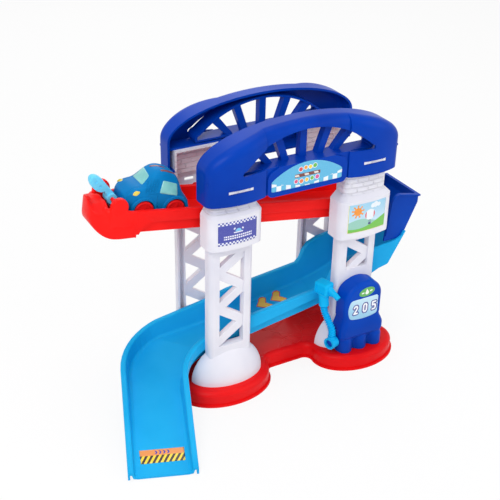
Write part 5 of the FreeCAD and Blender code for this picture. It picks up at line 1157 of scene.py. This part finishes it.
bpy.ops.mesh.primitive_plane_add(size=roomValues["floorSize"], location=roomValues["floorAt"])
floor = bpy.context.object
floor.name = "floor"
floor.data.materials.append(floorFinish())


def softRoom():
    # The world lights evenly, and shows white to the camera, to gloss and through glass.
    world = bpy.data.worlds.new("softRoom")
    bpy.context.scene.world = world
    world.use_nodes = True
    nodes, links = world.node_tree.nodes, world.node_tree.links
    path = nodes.new("ShaderNodeLightPath")
    above = nodes["Background"]
    white = nodes.new("ShaderNodeBackground")
    for background, strength, colour in (
            (above, roomValues["light"], "tint"), (white, 1.0, "white")):
        background.inputs["Strength"].default_value = strength
        background.inputs["Color"].default_value = roomValues[colour]
    last = above.outputs[0]
    for ray in ("Is Glossy Ray", "Is Transmission Ray", "Is Camera Ray"):
        chooser = nodes.new("ShaderNodeMixShader")
        for source, socket in zip((path.outputs[ray], last, white.outputs[0]), chooser.inputs):
            links.new(source, socket)
        last = chooser.outputs[0]
    links.new(last, nodes["World Output"].inputs["Surface"])


softRoom()

lampsAim = Vector((0.0, 0.0, 0.18))  # the middle of the toy
lampValues = {
    "key": {"at": (-1.1, -1.0, 1.5), "size": 1.0, "power": 15.5},
    "fill": {"at": (1.3, -1.2, 0.9), "size": 1.4, "power": 6.5},
    "top": {"at": (0.1, 0.1, 1.9), "size": 1.4, "power": 7.0},
    "back": {"at": (0.5, 1.6, 1.2), "size": 1.2, "power": 5.0}}
for name, values in lampValues.items():
    data = bpy.data.lights.new(name, "AREA")
    data.shape = "DISK"
    data.size = values["size"]
    data.energy = values["power"]
    lamp = bpy.data.objects.new(name, data)
    lamp.location = values["at"]
    lamp.rotation_euler = (lampsAim - lamp.location).to_track_quat("-Z", "Y").to_euler()
    bpy.context.collection.objects.link(lamp)

cameraValues = {
    "at": (-0.55128, -0.90608, 0.75409), "azimuth": -29.47, "elevation": 29.61, "roll": 1.27,
    "lens": 69.23, "sensor": 36.0, "shift": (0.00276, 0.00086), "near": 0.05}


def placeCamera():
    v = cameraValues
    azimuth, elevation, roll = (math.radians(v[k]) for k in ("azimuth", "elevation", "roll"))
    forward = Vector((
        -math.sin(azimuth) * math.cos(elevation), math.cos(azimuth) * math.cos(elevation),
        -math.sin(elevation)))
    level = Vector((math.cos(azimuth), math.sin(azimuth), 0.0))
    above = level.cross(forward)
    right = level * math.cos(roll) + above * math.sin(roll)
    up = above * math.cos(roll) - level * math.sin(roll)
    data = bpy.data.cameras.new("photoCamera")
    data.lens = v["lens"]
    data.sensor_width = v["sensor"]
    data.shift_x, data.shift_y = v["shift"]
    data.clip_start = v["near"]
    eye = bpy.data.objects.new("photoCamera", data)
    turn = Matrix((right, up, -forward)).transposed().to_4x4()
    eye.matrix_world = Matrix.Translation(v["at"]) @ turn
    bpy.context.collection.objects.link(eye)
    bpy.context.scene.camera = eye


placeCamera()
bpy.context.scene.view_settings.view_transform = "Standard"
print("camera and lights placed")

bpy.context.view_layer.update()
